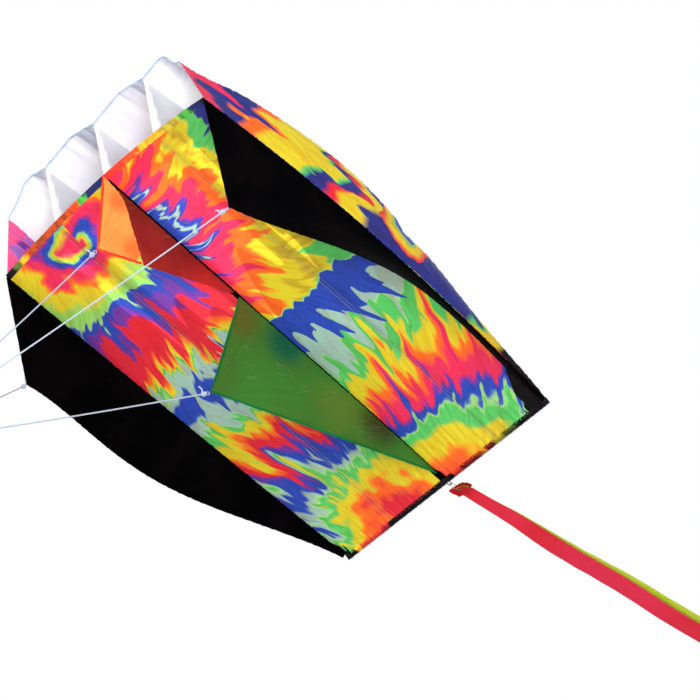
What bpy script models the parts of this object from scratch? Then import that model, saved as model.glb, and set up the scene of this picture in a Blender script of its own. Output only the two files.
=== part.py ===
"""A single-line parafoil kite in flight: four open cells, three hanging keels, four bridle legs and a tail.

Metres, +Z up. +X runs across the span to the kite's right, +Y runs along the chord from the open
mouth to the trailing edge. The origin is the centre of the tow ring, which the flying line holds.
"""

import math

import bmesh
import bpy
from mathutils import Matrix, Vector

# Canopy: the bottom skin lies near the plane of its four corners
CHORD = 0.760
LEADING_SPAN = 0.610
TRAILING_SPAN = 0.580
SIDE_BOW = 0.0125  # how far the side seams bow outwards at mid-chord
LEADING_BOW = 0.011  # how far the middle of the leading edge runs ahead of its corners
ARC_RISE = 0.023  # how far the middle of the leading edge stands over its corners
CAMBER_RISE = 0.011  # how far the bottom skin rises at mid-chord
BOTTOM_BILLOW = 0.004  # how far each cell's floor is blown down between two ribs
CANOPY_BACK = 0.068  # from the tow ring back to the leading corners
CANOPY_UP = 0.761  # from the tow ring up to the leading corners

# Upper surface: (distance behind the leading corners, height over them) along an inner rib
RIB_TOP = [
    (-0.072, 0.101),
    (0.000, 0.108),
    (0.120, 0.118),
    (0.250, 0.115),
    (0.400, 0.093),
    (0.550, 0.0595),
    (0.670, 0.0235),
    (0.7486, 0.0040),
]
END_LIP_AHEAD = 0.0575  # the lip at the end ribs, ahead of the leading corners
END_LIP_DROP = 0.033  # how much lower the lip is at the end ribs
END_LEAN = 0.020  # how far an end rib leans inwards at its top
LIP_LEAN = 0.038  # the same at the lip, where nothing holds it open
LEAN_FADE = (-0.060, 0.060)  # the chord stretch over which the lip's extra lean fades
DROP_FADE = (-0.020, 0.345)  # the same for its drop
TOP_BILLOW = 0.017  # how far each cell's roof is blown up between two ribs
LIP_BILLOW = 0.012  # the same at the lip
LIP_FORWARD = 0.007  # how far the lip's scallops run forward
SIDE_BILLOW = 0.007  # how far an end rib is blown outwards

CELLS = 4
STRIPS_PER_CELL = 8
CHORD_STATIONS = (0.0, 0.03, 0.07, 0.12, 0.18, 0.26, 0.35, 0.45, 0.55, 0.66, 0.77, 0.88, 1.0)
FABRIC = 0.0006
SEAM_GAP = 0.0004  # clearance between two sewn pieces
LEADING_HEM = 0.011
TRAILING_HEM = 0.011
TRAILING_ROLL = 0.0014  # how far the hem's folded edge runs past the chord
LIP_HEM = 0.004

# Keels: share of the chord where each starts, where its apex hangs, where it would run out, and its depth
FRONT_KEEL = (0.000, 0.075, 0.379, 0.138)
REAR_KEEL = (0.386, 0.441, 0.976, 0.211)
SIDE_KEEL = (0.000, 0.172, 1.030, 0.163)
SIDE_FLARE = 0.058  # how far the wind blows a side keel's rear edge outwards
FLARE_SKEW = 0.88
# The front keel's joining seam, as (chord share, drop)
FRONT_SPLIT = [(0.0, 0.0), (0.062, 0.0090), (0.116, 0.0480), (0.176, 0.0922)]
FRONT_CLOTH_END = 0.158  # chord share where the front keel's front cloth runs out against its hem
FRONT_HEM_END = 0.171
GORE_START = 0.045
KEEL_HEM = 0.0045
SHORTEST_DROP = 0.010  # a keel is cut off where it is shallower than this

# Bridle and tow ring
LINE_RADIUS = 0.0012
LEG_POINTS = 26
LEG_BOW = 0.003  # how far the wind bows a taut leg back
RING_RADIUS = 0.010
RING_WIRE = 0.00125
RING_SWING_UP = 0.00725  # from the ring's centre to the loop that it hangs on
LOOP_HALF_WIDTH = 0.0035
GATHER_RADIUS = 0.007
GATHER_UP = 0.02225  # from the ring's centre to the knot that gathers the four legs
KNOT_LENGTH = 0.008
KNOT_RADIUS = 0.0022
TAG_RADIUS = 0.0008
TAG_LENGTH = 0.012

# Tail: a wire link, a folded tab with an eyelet, and two ribbons that stream back and up
LINK_RISE = math.radians(20.3)  # how steeply the link and the tab rise behind the canopy
RIBBON_RISE = math.radians(12.3)
TAIL_LOOP_OUT = 0.0045
TAIL_LOOP_HALF = 0.0036
TAIL_LOOP_RADIUS = 0.0009
LINK_WIRE = 0.00055
LINK_HALF_HEIGHT = 0.0036
LINK_STRAIGHT = 0.0085
LINK_AHEAD = 0.00185  # how far the link's front bend is centred behind the loop
TAB_WIDTH = 0.034
TAB_AHEAD = 0.0045  # how much of the tab is ahead of the link's rear bend
TAB_LENGTH = 0.022
TAB_THICKNESS = 0.0018
EYELET_HOLE = 0.0030
EYELET_BARREL = 0.0036
EYELET_BACK = 0.00165  # from the link's wire to the middle of the eyelet
EYELET_FLANGE = 0.0055
EYELET_THICKNESS = 0.0036
RIBBON_LENGTH = 0.560
RIBBON_START_WIDTH = 0.028
LIME_START_WIDTH = 0.024
RIBBON_WIDTH = 0.040
RIBBON_WAVE = 0.0016
RIBBON_GATHER = 0.35  # share of its length over which a ribbon widens from its gathered start
LIME_SHIFT = 0.013
LIME_LIFT = 0.004
RIBBON_STATIONS = 26
RIBBON_STRIPS = 4

# Colours, as linear red, green and blue
TIE_DYE = (0.80, 0.16, 0.12)
WHITE = (0.86, 0.86, 0.88)
BLACK = (0.008, 0.008, 0.009)
ORANGE = (0.95, 0.36, 0.09)
HEM_RED = (0.80, 0.09, 0.03)
DARK_RED = (0.37, 0.02, 0.016)
GREEN = (0.055, 0.24, 0.035)
HEM_GREEN = (0.006, 0.17, 0.045)
LINE_WHITE = (0.75, 0.75, 0.78)
LIP_BLUE = (0.45, 0.68, 0.84)
RIBBON_RED = (0.75, 0.03, 0.05)
LIME = (0.45, 0.60, 0.03)
STEEL = (0.50, 0.50, 0.52)
BRASS = (0.45, 0.38, 0.20)


def clear_scene():
    for obj in list(bpy.data.objects):
        bpy.data.objects.remove(obj, do_unlink=True)


def material(name, colour, roughness=0.6, metallic=0.0):
    made = bpy.data.materials.get(name) or bpy.data.materials.new(name)
    made.use_nodes = True
    shader = made.node_tree.nodes["Principled BSDF"]
    shader.inputs["Base Color"].default_value = (*colour, 1.0)
    shader.inputs["Roughness"].default_value = roughness
    shader.inputs["Metallic"].default_value = metallic
    return made


def link(obj, finish, parent=None):
    bpy.context.scene.collection.objects.link(obj)
    obj.data.materials.append(finish)
    obj.parent = parent
    return obj


def empty(name, matrix):
    made = bpy.data.objects.new(name, None)
    made.matrix_world = matrix
    bpy.context.scene.collection.objects.link(made)
    return made


def lerp(a, b, share):
    return a + (b - a) * share


def ease(low, high, value):
    """0 below low, 1 above high, and smooth between them."""
    share = min(max((value - low) / (high - low), 0.0), 1.0)
    return share * share * (3 - 2 * share)


def smooth_curve(points, share):
    """A point on a Catmull-Rom curve through points, at share 0 to 1 of its spans."""
    spans = len(points) - 1
    at = min(share * spans, spans - 1e-9)
    i = int(at)
    f = at - i
    a, b, c, d = (Vector(points[min(max(k, 0), spans)]) for k in (i - 1, i, i + 1, i + 2))
    return 0.5 * (2 * b + (c - a) * f + (2 * a - 5 * b + 4 * c - d) * f**2 + (3 * b - a - 3 * c + d) * f**3)


def height_at(points, x):
    """The height at x of the smooth curve through points, which run on in x."""
    low, high = 0.0, 1.0
    for _ in range(26):
        middle = (low + high) / 2
        low, high = (middle, high) if smooth_curve(points, middle).x < x else (low, middle)
    return smooth_curve(points, low).y


# ---- the canopy's two surfaces, in the canopy's own frame ----


def half_span(t):
    """Half the width of the bottom skin at share t of the chord."""
    return lerp(LEADING_SPAN, TRAILING_SPAN, t) / 2 + SIDE_BOW * 4 * t * (1 - t)


def cell_bulge(u):
    """0 at a rib and 1 half way between two, for a place u across the span, from -1 to 1."""
    across = (u + 1) / 2 * CELLS % 1.0
    return 1 - (2 * across - 1) ** 2


def bottom_point(u, t):
    """The inner face of the bottom skin, at u across the span and share t of the chord."""
    crown = (1 - u * u) * (1 - t) ** 3
    billow = BOTTOM_BILLOW * cell_bulge(u) * math.sin(math.pi * t)
    return Vector((
        u * half_span(t),
        CHORD * t - LEADING_BOW * crown,
        ARC_RISE * crown + CAMBER_RISE * 4 * t * (1 - t) - billow,
    ))


def top_point(u, s):
    """The inner face of the top skin, at u across the span and share s from the lip to the trailing edge."""
    front, back = RIB_TOP[0][0], RIB_TOP[-1][0]
    y = lerp(front, back, s)
    end = ease(0.62, 1.0, abs(u))
    lip = (1 - s) ** 8
    bulge = cell_bulge(u)
    lean = end * lerp(LIP_LEAN, END_LEAN, ease(*LEAN_FADE, y)) * (1 - ease(0.75, 1.0, s))
    drop = END_LIP_DROP * end * (1 - ease(*DROP_FADE, y))
    ahead = lip * ((-END_LIP_AHEAD - front) * end - LIP_FORWARD * bulge)
    billow = bulge * (TOP_BILLOW * math.sin(math.pi * s**0.7) + LIP_BILLOW * lip)
    return Vector((
        u * half_span(min(max(y / CHORD, 0.0), 1.0)) - math.copysign(lean, u),
        y + ahead,
        height_at(RIB_TOP, y) - drop + billow,
    ))


# ---- shapes ----


def sheet(name, rows, finish, parent, side=0.0, thickness=FABRIC):
    """A closed fabric sheet through rows of points.

    side is 1 to thicken it along its normals, -1 against them and 0 both ways.
    """
    count = len(rows[0])
    mesh = bpy.data.meshes.new(name)
    faces = [
        (r * count + c, r * count + c + 1, (r + 1) * count + c + 1, (r + 1) * count + c)
        for r in range(len(rows) - 1)
        for c in range(count - 1)
    ]
    mesh.from_pydata([p for row in rows for p in row], [], faces)
    mesh.shade_smooth()
    obj = link(bpy.data.objects.new(name, mesh), finish, parent)
    wall = obj.modifiers.new("thickness", "SOLIDIFY")
    wall.thickness = thickness
    wall.offset = side
    return obj


def tube(name, points, radius, finish, parent=None, cyclic=False, resolution=2):
    curve = bpy.data.curves.new(name, "CURVE")
    curve.dimensions = "3D"
    curve.bevel_depth = radius
    curve.bevel_resolution = resolution
    curve.use_fill_caps = not cyclic
    spline = curve.splines.new("POLY")
    spline.points.add(len(points) - 1)
    for place, point in zip(spline.points, points):
        place.co = (*point, 1.0)
    spline.use_cyclic_u = cyclic
    return link(bpy.data.objects.new(name, curve), finish, parent)


def solid_tube(name, points, radius, finish, cyclic):
    """A tube as a mesh, for joining to another piece."""
    guide = tube(f"{name}_guide", points, radius, finish, cyclic=cyclic)
    mesh = bpy.data.meshes.new_from_object(guide.evaluated_get(bpy.context.evaluated_depsgraph_get()))
    bpy.data.objects.remove(guide, do_unlink=True)
    bm = bmesh.new()
    bm.from_mesh(mesh)
    bmesh.ops.remove_doubles(bm, verts=bm.verts, dist=1e-6)
    return from_bmesh(name, bm, finish)


def from_bmesh(name, bm, finish, parent=None):
    bmesh.ops.recalc_face_normals(bm, faces=bm.faces)
    mesh = bpy.data.meshes.new(name)
    bm.to_mesh(mesh)
    bm.free()
    mesh.shade_smooth()
    mesh.set_sharp_from_angle(angle=math.radians(40))
    return link(bpy.data.objects.new(name, mesh), finish, parent)


def boolean(obj, other, operation):
    """Adds a helper to obj, or cuts it out, and keeps the helper out of the model."""
    other.hide_render = True
    other.display_type = "WIRE"
    step = obj.modifiers.new(operation.lower(), "BOOLEAN")
    step.operation = operation
    step.object = other


def along(start, end):
    """The frame at start whose +Z points at end."""
    return Matrix.Translation(start) @ (end - start).to_track_quat("Z", "Y").to_matrix().to_4x4()


def ellipsoid(name, frame, radius, half_length, finish):
    bm = bmesh.new()
    bmesh.ops.create_uvsphere(bm, u_segments=12, v_segments=8, radius=1.0)
    bm.transform(frame @ Matrix.Diagonal((radius, radius, half_length, 1.0)))
    return from_bmesh(name, bm, finish)


# ---- canopy ----


def cell_edges(index):
    """u at the two sides of a cell, clear of its neighbours."""
    inset = 2 * SEAM_GAP / LEADING_SPAN
    return -1 + 2 * index / CELLS + inset, -1 + 2 * (index + 1) / CELLS - inset


def across(first, last, strips):
    return [lerp(first, last, i / strips) for i in range(strips + 1)]


def stations(start, end):
    """Shares of the chord from start to end, close together near the mouth."""
    return [lerp(start, end, s) for s in CHORD_STATIONS]


def lip_start():
    return (LIP_HEM + SEAM_GAP) / (RIB_TOP[-1][0] - RIB_TOP[0][0])


def hem_line():
    """The share of the chord where the bottom panels meet the trailing hem."""
    return 1 - TRAILING_HEM / CHORD - SEAM_GAP / CHORD


def make_top_panels(canopy):
    names = ("left_outer_top_panel", "left_inner_top_panel", "right_inner_top_panel", "right_outer_top_panel")
    for index, name in enumerate(names):
        columns = across(*cell_edges(index), STRIPS_PER_CELL)
        rows = [[top_point(u, s) for u in columns] for s in stations(lip_start(), 1.0)]
        sheet(name, rows, material(name, WHITE), canopy, side=1)


def make_bottom_panels(canopy):
    start = (LEADING_HEM + SEAM_GAP) / CHORD
    for name, first, last in (("left_bottom_panel", 0, 1), ("right_bottom_panel", 2, 3)):
        columns = across(cell_edges(first)[0], cell_edges(last)[1], STRIPS_PER_CELL)
        rows = [[bottom_point(u, t) for u in columns] for t in stations(start, hem_line())]
        sheet(name, rows, material(name, TIE_DYE), canopy, side=-1)


def make_leading_hem(canopy):
    columns = across(cell_edges(0)[0], cell_edges(CELLS - 1)[1], 2 * STRIPS_PER_CELL)
    rows = [[bottom_point(u, t) for u in columns] for t in (0.0, LEADING_HEM / CHORD)]
    sheet("leading_edge_hem", rows, material("leading_edge_hem", BLACK), canopy, side=-1)


def make_lip_hem(canopy):
    columns = across(cell_edges(0)[0], cell_edges(CELLS - 1)[1], CELLS * STRIPS_PER_CELL)
    width = lip_start() - SEAM_GAP / (RIB_TOP[-1][0] - RIB_TOP[0][0])
    rows = [[top_point(u, s) for u in columns] for s in (0.0, width)]
    sheet("upper_lip_hem", rows, material("upper_lip_hem", LIP_BLUE), canopy, side=1)


def make_trailing_hem(canopy):
    """The folded tape that closes the two skins along the trailing edge, with a rounded back."""
    bm = bmesh.new()
    front = CHORD - TRAILING_HEM
    low, high = -FABRIC, RIB_TOP[-1][1] + FABRIC
    middle = (low + high) / 2
    rear = CHORD + TRAILING_ROLL
    shoulder = rear - 0.0015
    profile = [(front, low), (shoulder, low), (rear, middle), (shoulder, high), (front, high)]
    ends = []
    for side in (-1, 1):
        ends.append([bm.verts.new((side * TRAILING_SPAN / 2, y, z)) for y, z in profile])
        bm.faces.new(ends[-1])
    for i in range(len(profile)):
        j = (i + 1) % len(profile)
        bm.faces.new((ends[0][i], ends[0][j], ends[1][j], ends[1][i]))
    from_bmesh("trailing_edge_hem", bm, material("trailing_edge_hem", BLACK), canopy)


def rib_rows(u, strips, billow):
    """Rows of points from the bottom skin up to the top skin, clear of both."""
    rows = []
    for share in CHORD_STATIONS:
        foot = bottom_point(u, lerp(0.004, hem_line(), share)) + Vector((0, 0, SEAM_GAP))
        head = top_point(u, lerp(0.004, 1.0, share)) - Vector((0, 0, SEAM_GAP))
        row = []
        for i in range(strips + 1):
            point = foot.lerp(head, i / strips)
            point.x += billow * 4 * (i / strips) * (1 - i / strips) * math.sin(math.pi * share)
            row.append(point)
        rows.append(row)
    return rows


def make_ribs(canopy):
    inset = 0.5 * FABRIC / (LEADING_SPAN / 2)
    for name, u in (("left_rib", -0.5), ("centre_rib", 0.0), ("right_rib", 0.5)):
        sheet(name, rib_rows(u, 2, 0.0), material(name, WHITE), canopy)
    for name, side in (("left_end_rib", -1), ("right_end_rib", 1)):
        sheet(name, rib_rows(side * (1 - inset), 5, side * SIDE_BILLOW), material(name, TIE_DYE), canopy)


# ---- keels ----


def keel_drop(keel, t):
    """How deep a keel hangs at share t of the chord."""
    start, apex, end, depth = keel
    share = (t - start) / (apex - start) if t < apex else (end - t) / (end - apex)
    return depth * max(share, 0.0)


def keel_shares(keel):
    """Chord stations of a keel, with one at its apex, where it is deep enough to sew."""
    start, apex, end, depth = keel
    least = SHORTEST_DROP / depth
    first, last = lerp(start, apex, least), lerp(end, apex, least)
    return across(first, apex, 3) + across(apex, last, 12)[1:]


def hem_drop(keel, t):
    """The hem's height where it is measured straight down from a sloping edge."""
    start, apex, end, depth = keel
    run = (apex - start if t < apex else end - apex) * CHORD
    return min(KEEL_HEM * math.hypot(1.0, depth / run), 0.45 * keel_drop(keel, t))


def side_flare(keel, t):
    start, apex, end, _ = keel
    share = min(max((t - apex) / (end - apex), 0.0), 1.0)
    return SIDE_FLARE * math.sin(math.pi * share**FLARE_SKEW) ** 2


def keel_point(keel, side, t, down):
    """A point of a keel, down metres under its seam. side is -1 or 1, or 0 on the centre line."""
    inset = FABRIC / LEADING_SPAN
    seam = bottom_point(side * (1 - inset), t) - Vector((0, 0, FABRIC + SEAM_GAP))
    share = down / max(keel_drop(keel, t), 1e-6)
    return seam + Vector((side * side_flare(keel, t) * share**1.5, 0, -down))


def keel_rows(keel, side, shares, ranges, strips):
    """Rows of keel points. ranges gives, for share t, how far under the seam the piece starts and ends."""
    rows = []
    for t in shares:
        start, end = ranges(t)
        rows.append([keel_point(keel, side, t, lerp(start, end, i / strips)) for i in range(strips + 1)])
    return rows


def make_keel(name, keel, side, colour, hem_colour, canopy):
    def cloth(t):
        return 0.0, keel_drop(keel, t) - hem_drop(keel, t) - SEAM_GAP

    def hem(t):
        return keel_drop(keel, t) - hem_drop(keel, t), keel_drop(keel, t)

    shares = keel_shares(keel)
    sheet(name, keel_rows(keel, side, shares, cloth, 5 if side else 2), material(name, colour), canopy)
    finish = material(f"{name}_hem", hem_colour)
    sheet(f"{name}_hem", keel_rows(keel, side, shares, hem, 1), finish, canopy)


def make_front_keel(canopy):
    """Two cloths joined along a curved seam, and a hem along the free edge of the front one."""
    keel = FRONT_KEEL
    start, apex, end, _ = keel
    split_end = FRONT_SPLIT[-1][0]

    def split(t):
        return height_at(FRONT_SPLIT, t) if t < split_end else keel_drop(keel, t)

    def front(t):
        return split(t) + SEAM_GAP, keel_drop(keel, t) - hem_drop(keel, t) - SEAM_GAP

    def hem(t):
        return keel_drop(keel, t) - hem_drop(keel, t), keel_drop(keel, t)

    def gore(t):
        return 0.0, split(t) - SEAM_GAP

    least = SHORTEST_DROP / keel[3]
    first, last = lerp(start, apex, least), lerp(end, apex, least)
    shares = across(first, apex, 3) + across(apex, FRONT_CLOTH_END, 5)[1:]
    sheet("front_keel", keel_rows(keel, 0, shares, front, 2), material("front_keel", ORANGE), canopy)
    shares = across(first, apex, 3) + across(apex, FRONT_HEM_END, 5)[1:]
    sheet("front_keel_hem", keel_rows(keel, 0, shares, hem, 1), material("front_keel_hem", HEM_RED), canopy)
    shares = across(GORE_START, split_end, 6) + across(split_end, last, 6)[1:]
    finish = material("front_keel_gore", DARK_RED)
    sheet("front_keel_gore", keel_rows(keel, 0, shares, gore, 2), finish, canopy)


def make_keels(canopy):
    make_front_keel(canopy)
    make_keel("rear_keel", REAR_KEEL, 0, GREEN, HEM_GREEN, canopy)
    make_keel("left_keel", SIDE_KEEL, -1, BLACK, BLACK, canopy)
    make_keel("right_keel", SIDE_KEEL, 1, BLACK, BLACK, canopy)


# ---- bridle and tow ring ----


def apex_of(keel, side):
    """The lowest point of a keel, from the tow ring's centre."""
    return keel_point(keel, side, keel[1], keel[3]) + Vector((0, CANOPY_BACK, CANOPY_UP))


def arc(centre, radius, start, end, count):
    """Points (a, b) of an arc, for angles from start to end in degrees."""
    angles = [math.radians(lerp(start, end, i / count)) for i in range(count + 1)]
    return [(centre[0] + radius * math.cos(a), centre[1] + radius * math.sin(a)) for a in angles]


def make_apex_loop(name, frame):
    """A loop of line under a keel's apex, with a knot and the line's two cut ends. +Z runs down the leg."""
    finish = material(name, LINE_WHITE, 0.7)
    shape = [(b, a) for a, b in arc((0.0033, 0.0), 0.0024, 90, 270, 8)]
    shape += [(b, a) for a, b in arc((0.0120, 0.0), 0.0006, -90, 90, 2)]
    ring = solid_tube(f"{name}_ring", [frame @ Vector((0, y, z)) for y, z in shape], 0.0007, finish, True)
    knot = ellipsoid(name, frame @ Matrix.Translation((0, 0, 0.0130)), KNOT_RADIUS, KNOT_LENGTH / 2, finish)
    boolean(knot, ring, "UNION")
    bends = ((0.0006, 0.0130), (0.0045, 0.0140), (TAG_LENGTH, 0.0185))
    for index, side in enumerate((-1, 1)):
        path = [frame @ Vector((0, side * y, z)) for y, z in bends]
        tag = solid_tube(f"{name}_tag_{index}", path, TAG_RADIUS, finish, False)
        boolean(knot, tag, "UNION")
    return knot


def make_bridle():
    gather = Vector((0, 0, GATHER_UP))
    legs = (
        ("front", FRONT_KEEL, 0), ("rear", REAR_KEEL, 0),
        ("left", SIDE_KEEL, -1), ("right", SIDE_KEEL, 1),
    )
    for name, keel, side in legs:
        frame = along(apex_of(keel, side), gather)
        make_apex_loop(f"{name}_apex_loop", frame)
        length = (apex_of(keel, side) - gather).length
        path = []
        for i in range(LEG_POINTS):
            share = i / (LEG_POINTS - 1)
            point = frame @ Vector((0, 0, lerp(0.0174, length - GATHER_RADIUS, share)))
            path.append(point + Vector((0, LEG_BOW * 4 * share * (1 - share), 0)))
        tube(f"{name}_bridle_leg", path, LINE_RADIUS, material(f"{name}_bridle_leg", LINE_WHITE, 0.7))


def make_tow_ring():
    """The knot that gathers the legs, its loop, and the steel ring that hangs on the loop."""
    finish = material("bridle_knot", LINE_WHITE, 0.7)
    knot = ellipsoid("bridle_knot", Matrix.Translation((0, 0, GATHER_UP)), 0.0052, 0.0066, finish)
    bend = RING_SWING_UP + LOOP_HALF_WIDTH
    shape = [(-LOOP_HALF_WIDTH, GATHER_UP - 0.003)]
    shape += arc((0.0, bend), LOOP_HALF_WIDTH, 180, 360, 10)
    shape += [(LOOP_HALF_WIDTH, GATHER_UP - 0.003)]
    loop = solid_tube("bridle_knot_loop", [Vector((0, y, z)) for y, z in shape], LINE_RADIUS, finish, False)
    boolean(knot, loop, "UNION")
    pivot = empty("tow_ring_pivot", Matrix.Translation((0, 0, RING_RADIUS)))
    ring = [Vector((x, 0, z - RING_RADIUS)) for x, z in arc((0.0, 0.0), RING_RADIUS, 0, 350, 35)]
    tube("tow_ring", ring, RING_WIRE, material("tow_ring", STEEL, 0.3, 1.0), pivot, cyclic=True)


# ---- tail ----


def tail_frame():
    """At the wire of the trailing edge's loop, with +Y down the tail."""
    back = CANOPY_BACK + CHORD + TRAILING_ROLL + TAIL_LOOP_OUT
    return Matrix.Translation((0, back, CANOPY_UP + RIB_TOP[-1][1] / 2)) @ Matrix.Rotation(LINK_RISE, 4, "X")


def make_tail_loop():
    end = Vector((0, CANOPY_BACK + CHORD + TRAILING_ROLL, CANOPY_UP + RIB_TOP[-1][1] / 2))
    bend = TAIL_LOOP_OUT - TAIL_LOOP_HALF
    shape = [(-TAIL_LOOP_HALF, SEAM_GAP)]
    shape += arc((0.0, bend), TAIL_LOOP_HALF, 180, 0, 10)
    shape += [(TAIL_LOOP_HALF, SEAM_GAP)]
    path = [end + Vector((x, y, 0)) for x, y in shape]
    tube("tail_loop", path, TAIL_LOOP_RADIUS, material("tail_loop", BLACK))


def make_tail_link(pivot):
    """A long wire ring, standing on edge. Its front bend holds the loop and its rear bend the eyelet."""
    shape = arc((LINK_AHEAD, 0.0), LINK_HALF_HEIGHT, 90, 270, 10)
    shape += arc((LINK_AHEAD + LINK_STRAIGHT, 0.0), LINK_HALF_HEIGHT, -90, 90, 10)
    points = [Vector((0, y, z)) for y, z in shape]
    tube("tail_link", points, LINK_WIRE, material("tail_link", STEEL, 0.3, 1.0), pivot, cyclic=True)


def cylinder(name, centre, radius, depth, parent):
    bm = bmesh.new()
    bmesh.ops.create_cone(bm, cap_ends=True, segments=24, radius1=radius, radius2=radius, depth=depth)
    bm.transform(Matrix.Translation(centre))
    return from_bmesh(name, bm, material(name, STEEL), parent)


def make_tail_tab(pivot):
    """The folded cloth tab. Its origin is the rear wire of the link."""
    half = TAB_WIDTH / 2
    rear = TAB_LENGTH - TAB_AHEAD
    outline = [
        (-0.006, -TAB_AHEAD), (0.006, -TAB_AHEAD), (half, 0.006),
        (0.012, rear), (-0.012, rear), (-half, 0.006),
    ]
    bm = bmesh.new()
    base = bm.faces.new([bm.verts.new((x, y, -TAB_THICKNESS / 2)) for x, y in outline])
    raised = bmesh.ops.extrude_face_region(bm, geom=[base])
    tops = [item for item in raised["geom"] if isinstance(item, bmesh.types.BMVert)]
    bmesh.ops.translate(bm, vec=(0, 0, TAB_THICKNESS), verts=tops)
    tab = from_bmesh("tail_tab", bm, material("tail_tab", DARK_RED), pivot)
    hole = cylinder("tail_tab_hole", (0, EYELET_BACK, 0), EYELET_BARREL + 0.0003, 0.01, pivot)
    boolean(tab, hole, "DIFFERENCE")


def make_eyelet(pivot):
    """A brass barrel through the tab, with a flange on each face."""
    flat = TAB_THICKNESS / 2 + 0.0003
    high = EYELET_THICKNESS / 2
    profile = [
        (EYELET_HOLE, -high), (EYELET_FLANGE, -high), (EYELET_FLANGE, -flat), (EYELET_BARREL, -flat),
        (EYELET_BARREL, flat), (EYELET_FLANGE, flat), (EYELET_FLANGE, high), (EYELET_HOLE, high),
    ]
    count = 24
    bm = bmesh.new()
    rings = []
    for i in range(count):
        turn = Matrix.Rotation(2 * math.pi * i / count, 4, "Z")
        centre = Vector((0, EYELET_BACK, 0))
        rings.append([bm.verts.new(centre + turn @ Vector((r, 0, z))) for r, z in profile])
    for i, ring in enumerate(rings):
        after = rings[(i + 1) % count]
        for j in range(len(profile)):
            k = (j + 1) % len(profile)
            bm.faces.new((ring[j], after[j], after[k], ring[k]))
    from_bmesh("tail_eyelet", bm, material("tail_eyelet", BRASS, 0.4, 1.0), pivot)


def make_ribbon(name, colour, shift, lift, start_width, pivot):
    """A ribbon that lies flat and waves, from a gathered start. +Y runs down it."""
    rows = []
    for i in range(RIBBON_STATIONS):
        share = i / (RIBBON_STATIONS - 1)
        half = lerp(start_width, RIBBON_WIDTH, ease(0.0, RIBBON_GATHER, share)) / 2
        drift = ease(0.0, 1.0, share)
        height = RIBBON_WAVE * math.sin(4.4 * math.pi * share) * ease(0.0, 0.3, share) + lift * drift
        columns = across(-half, half, RIBBON_STRIPS)
        rows.append([(shift * drift + x, RIBBON_LENGTH * share, height) for x in columns])
    sheet(name, rows, material(name, colour), pivot)


def make_tail():
    make_tail_loop()
    frame = tail_frame()
    link_pivot = empty("tail_link_pivot", frame)
    make_tail_link(link_pivot)
    wire = LINK_AHEAD + LINK_STRAIGHT + LINK_HALF_HEIGHT
    tab_pivot = empty("tail_tab_pivot", frame @ Matrix.Translation((0, wire, 0)))
    make_tail_tab(tab_pivot)
    make_eyelet(tab_pivot)
    rear = wire + TAB_LENGTH - TAB_AHEAD + 0.0012
    ease_off = Matrix.Rotation(RIBBON_RISE - LINK_RISE, 4, "X")
    red_pivot = empty("red_ribbon_pivot", frame @ Matrix.Translation((0, rear, -0.0004)) @ ease_off)
    make_ribbon("red_ribbon", RIBBON_RED, 0.0, 0.0, RIBBON_START_WIDTH, red_pivot)
    lime_pivot = empty("lime_ribbon_pivot", frame @ Matrix.Translation((0, rear, 0.0014)) @ ease_off)
    make_ribbon("lime_ribbon", LIME, LIME_SHIFT, LIME_LIFT, LIME_START_WIDTH, lime_pivot)


def main():
    clear_scene()
    canopy = empty("canopy", Matrix.Translation((0, CANOPY_BACK, CANOPY_UP)))
    make_top_panels(canopy)
    make_bottom_panels(canopy)
    make_leading_hem(canopy)
    make_lip_hem(canopy)
    make_trailing_hem(canopy)
    make_ribs(canopy)
    make_keels(canopy)
    make_bridle()
    make_tow_ring()
    make_tail()


main()
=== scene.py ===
"""A parafoil kite in flight: tie-dyed ripstop skins, white cells, hanging keels, bridle and ribbon tail."""

import logging
import math
from dataclasses import dataclass, field
from enum import Enum
from typing import Sequence

import bpy
import numpy as np
from mathutils import Matrix, Vector


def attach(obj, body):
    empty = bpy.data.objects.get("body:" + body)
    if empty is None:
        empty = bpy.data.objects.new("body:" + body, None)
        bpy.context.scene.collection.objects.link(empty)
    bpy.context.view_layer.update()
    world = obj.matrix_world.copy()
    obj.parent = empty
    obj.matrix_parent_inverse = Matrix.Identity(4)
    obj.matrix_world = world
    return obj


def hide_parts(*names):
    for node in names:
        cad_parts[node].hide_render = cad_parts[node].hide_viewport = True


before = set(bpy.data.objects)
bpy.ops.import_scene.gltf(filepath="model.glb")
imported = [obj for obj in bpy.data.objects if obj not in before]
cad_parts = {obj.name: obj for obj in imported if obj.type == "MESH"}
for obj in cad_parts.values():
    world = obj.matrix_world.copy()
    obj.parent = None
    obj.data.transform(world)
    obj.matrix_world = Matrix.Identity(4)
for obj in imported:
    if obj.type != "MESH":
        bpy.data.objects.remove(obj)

LOG = logging.getLogger("parafoil_kite")
FABRIC = 0.0004  # ripstop with its coating, a little thicker than real so that its edges show

Array = np.ndarray
Colour = tuple[float, float, float]
Stops = Sequence[tuple[float, Colour]]
Points = Sequence[Sequence[float]]
Place = tuple[float, float, float]
Socket = bpy.types.NodeSocket
Piece = bpy.types.Object
Material = bpy.types.Material


# ---- small tools ----


def srgb(red: int, green: int, blue: int) -> Colour:
    """A colour mixed on screen, from 0 to 255, as linear light.

    Args:
        red: The red share.
        green: The green share.
        blue: The blue share.

    Returns:
        The same colour as linear red, green and blue from 0 to 1.
    """
    def linear(value: float) -> float:
        """One channel."""
        share = value / 255
        return share / 12.92 if share < 0.04045 else ((share + 0.055) / 1.055) ** 2.4

    return linear(red), linear(green), linear(blue)


def ease(low: float, high: float, value: Array) -> Array:
    """0 below low, 1 above high, and smooth between them."""
    share = np.clip((np.asarray(value, float) - low) / (high - low), 0.0, 1.0)
    return share * share * (3 - 2 * share)


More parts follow.
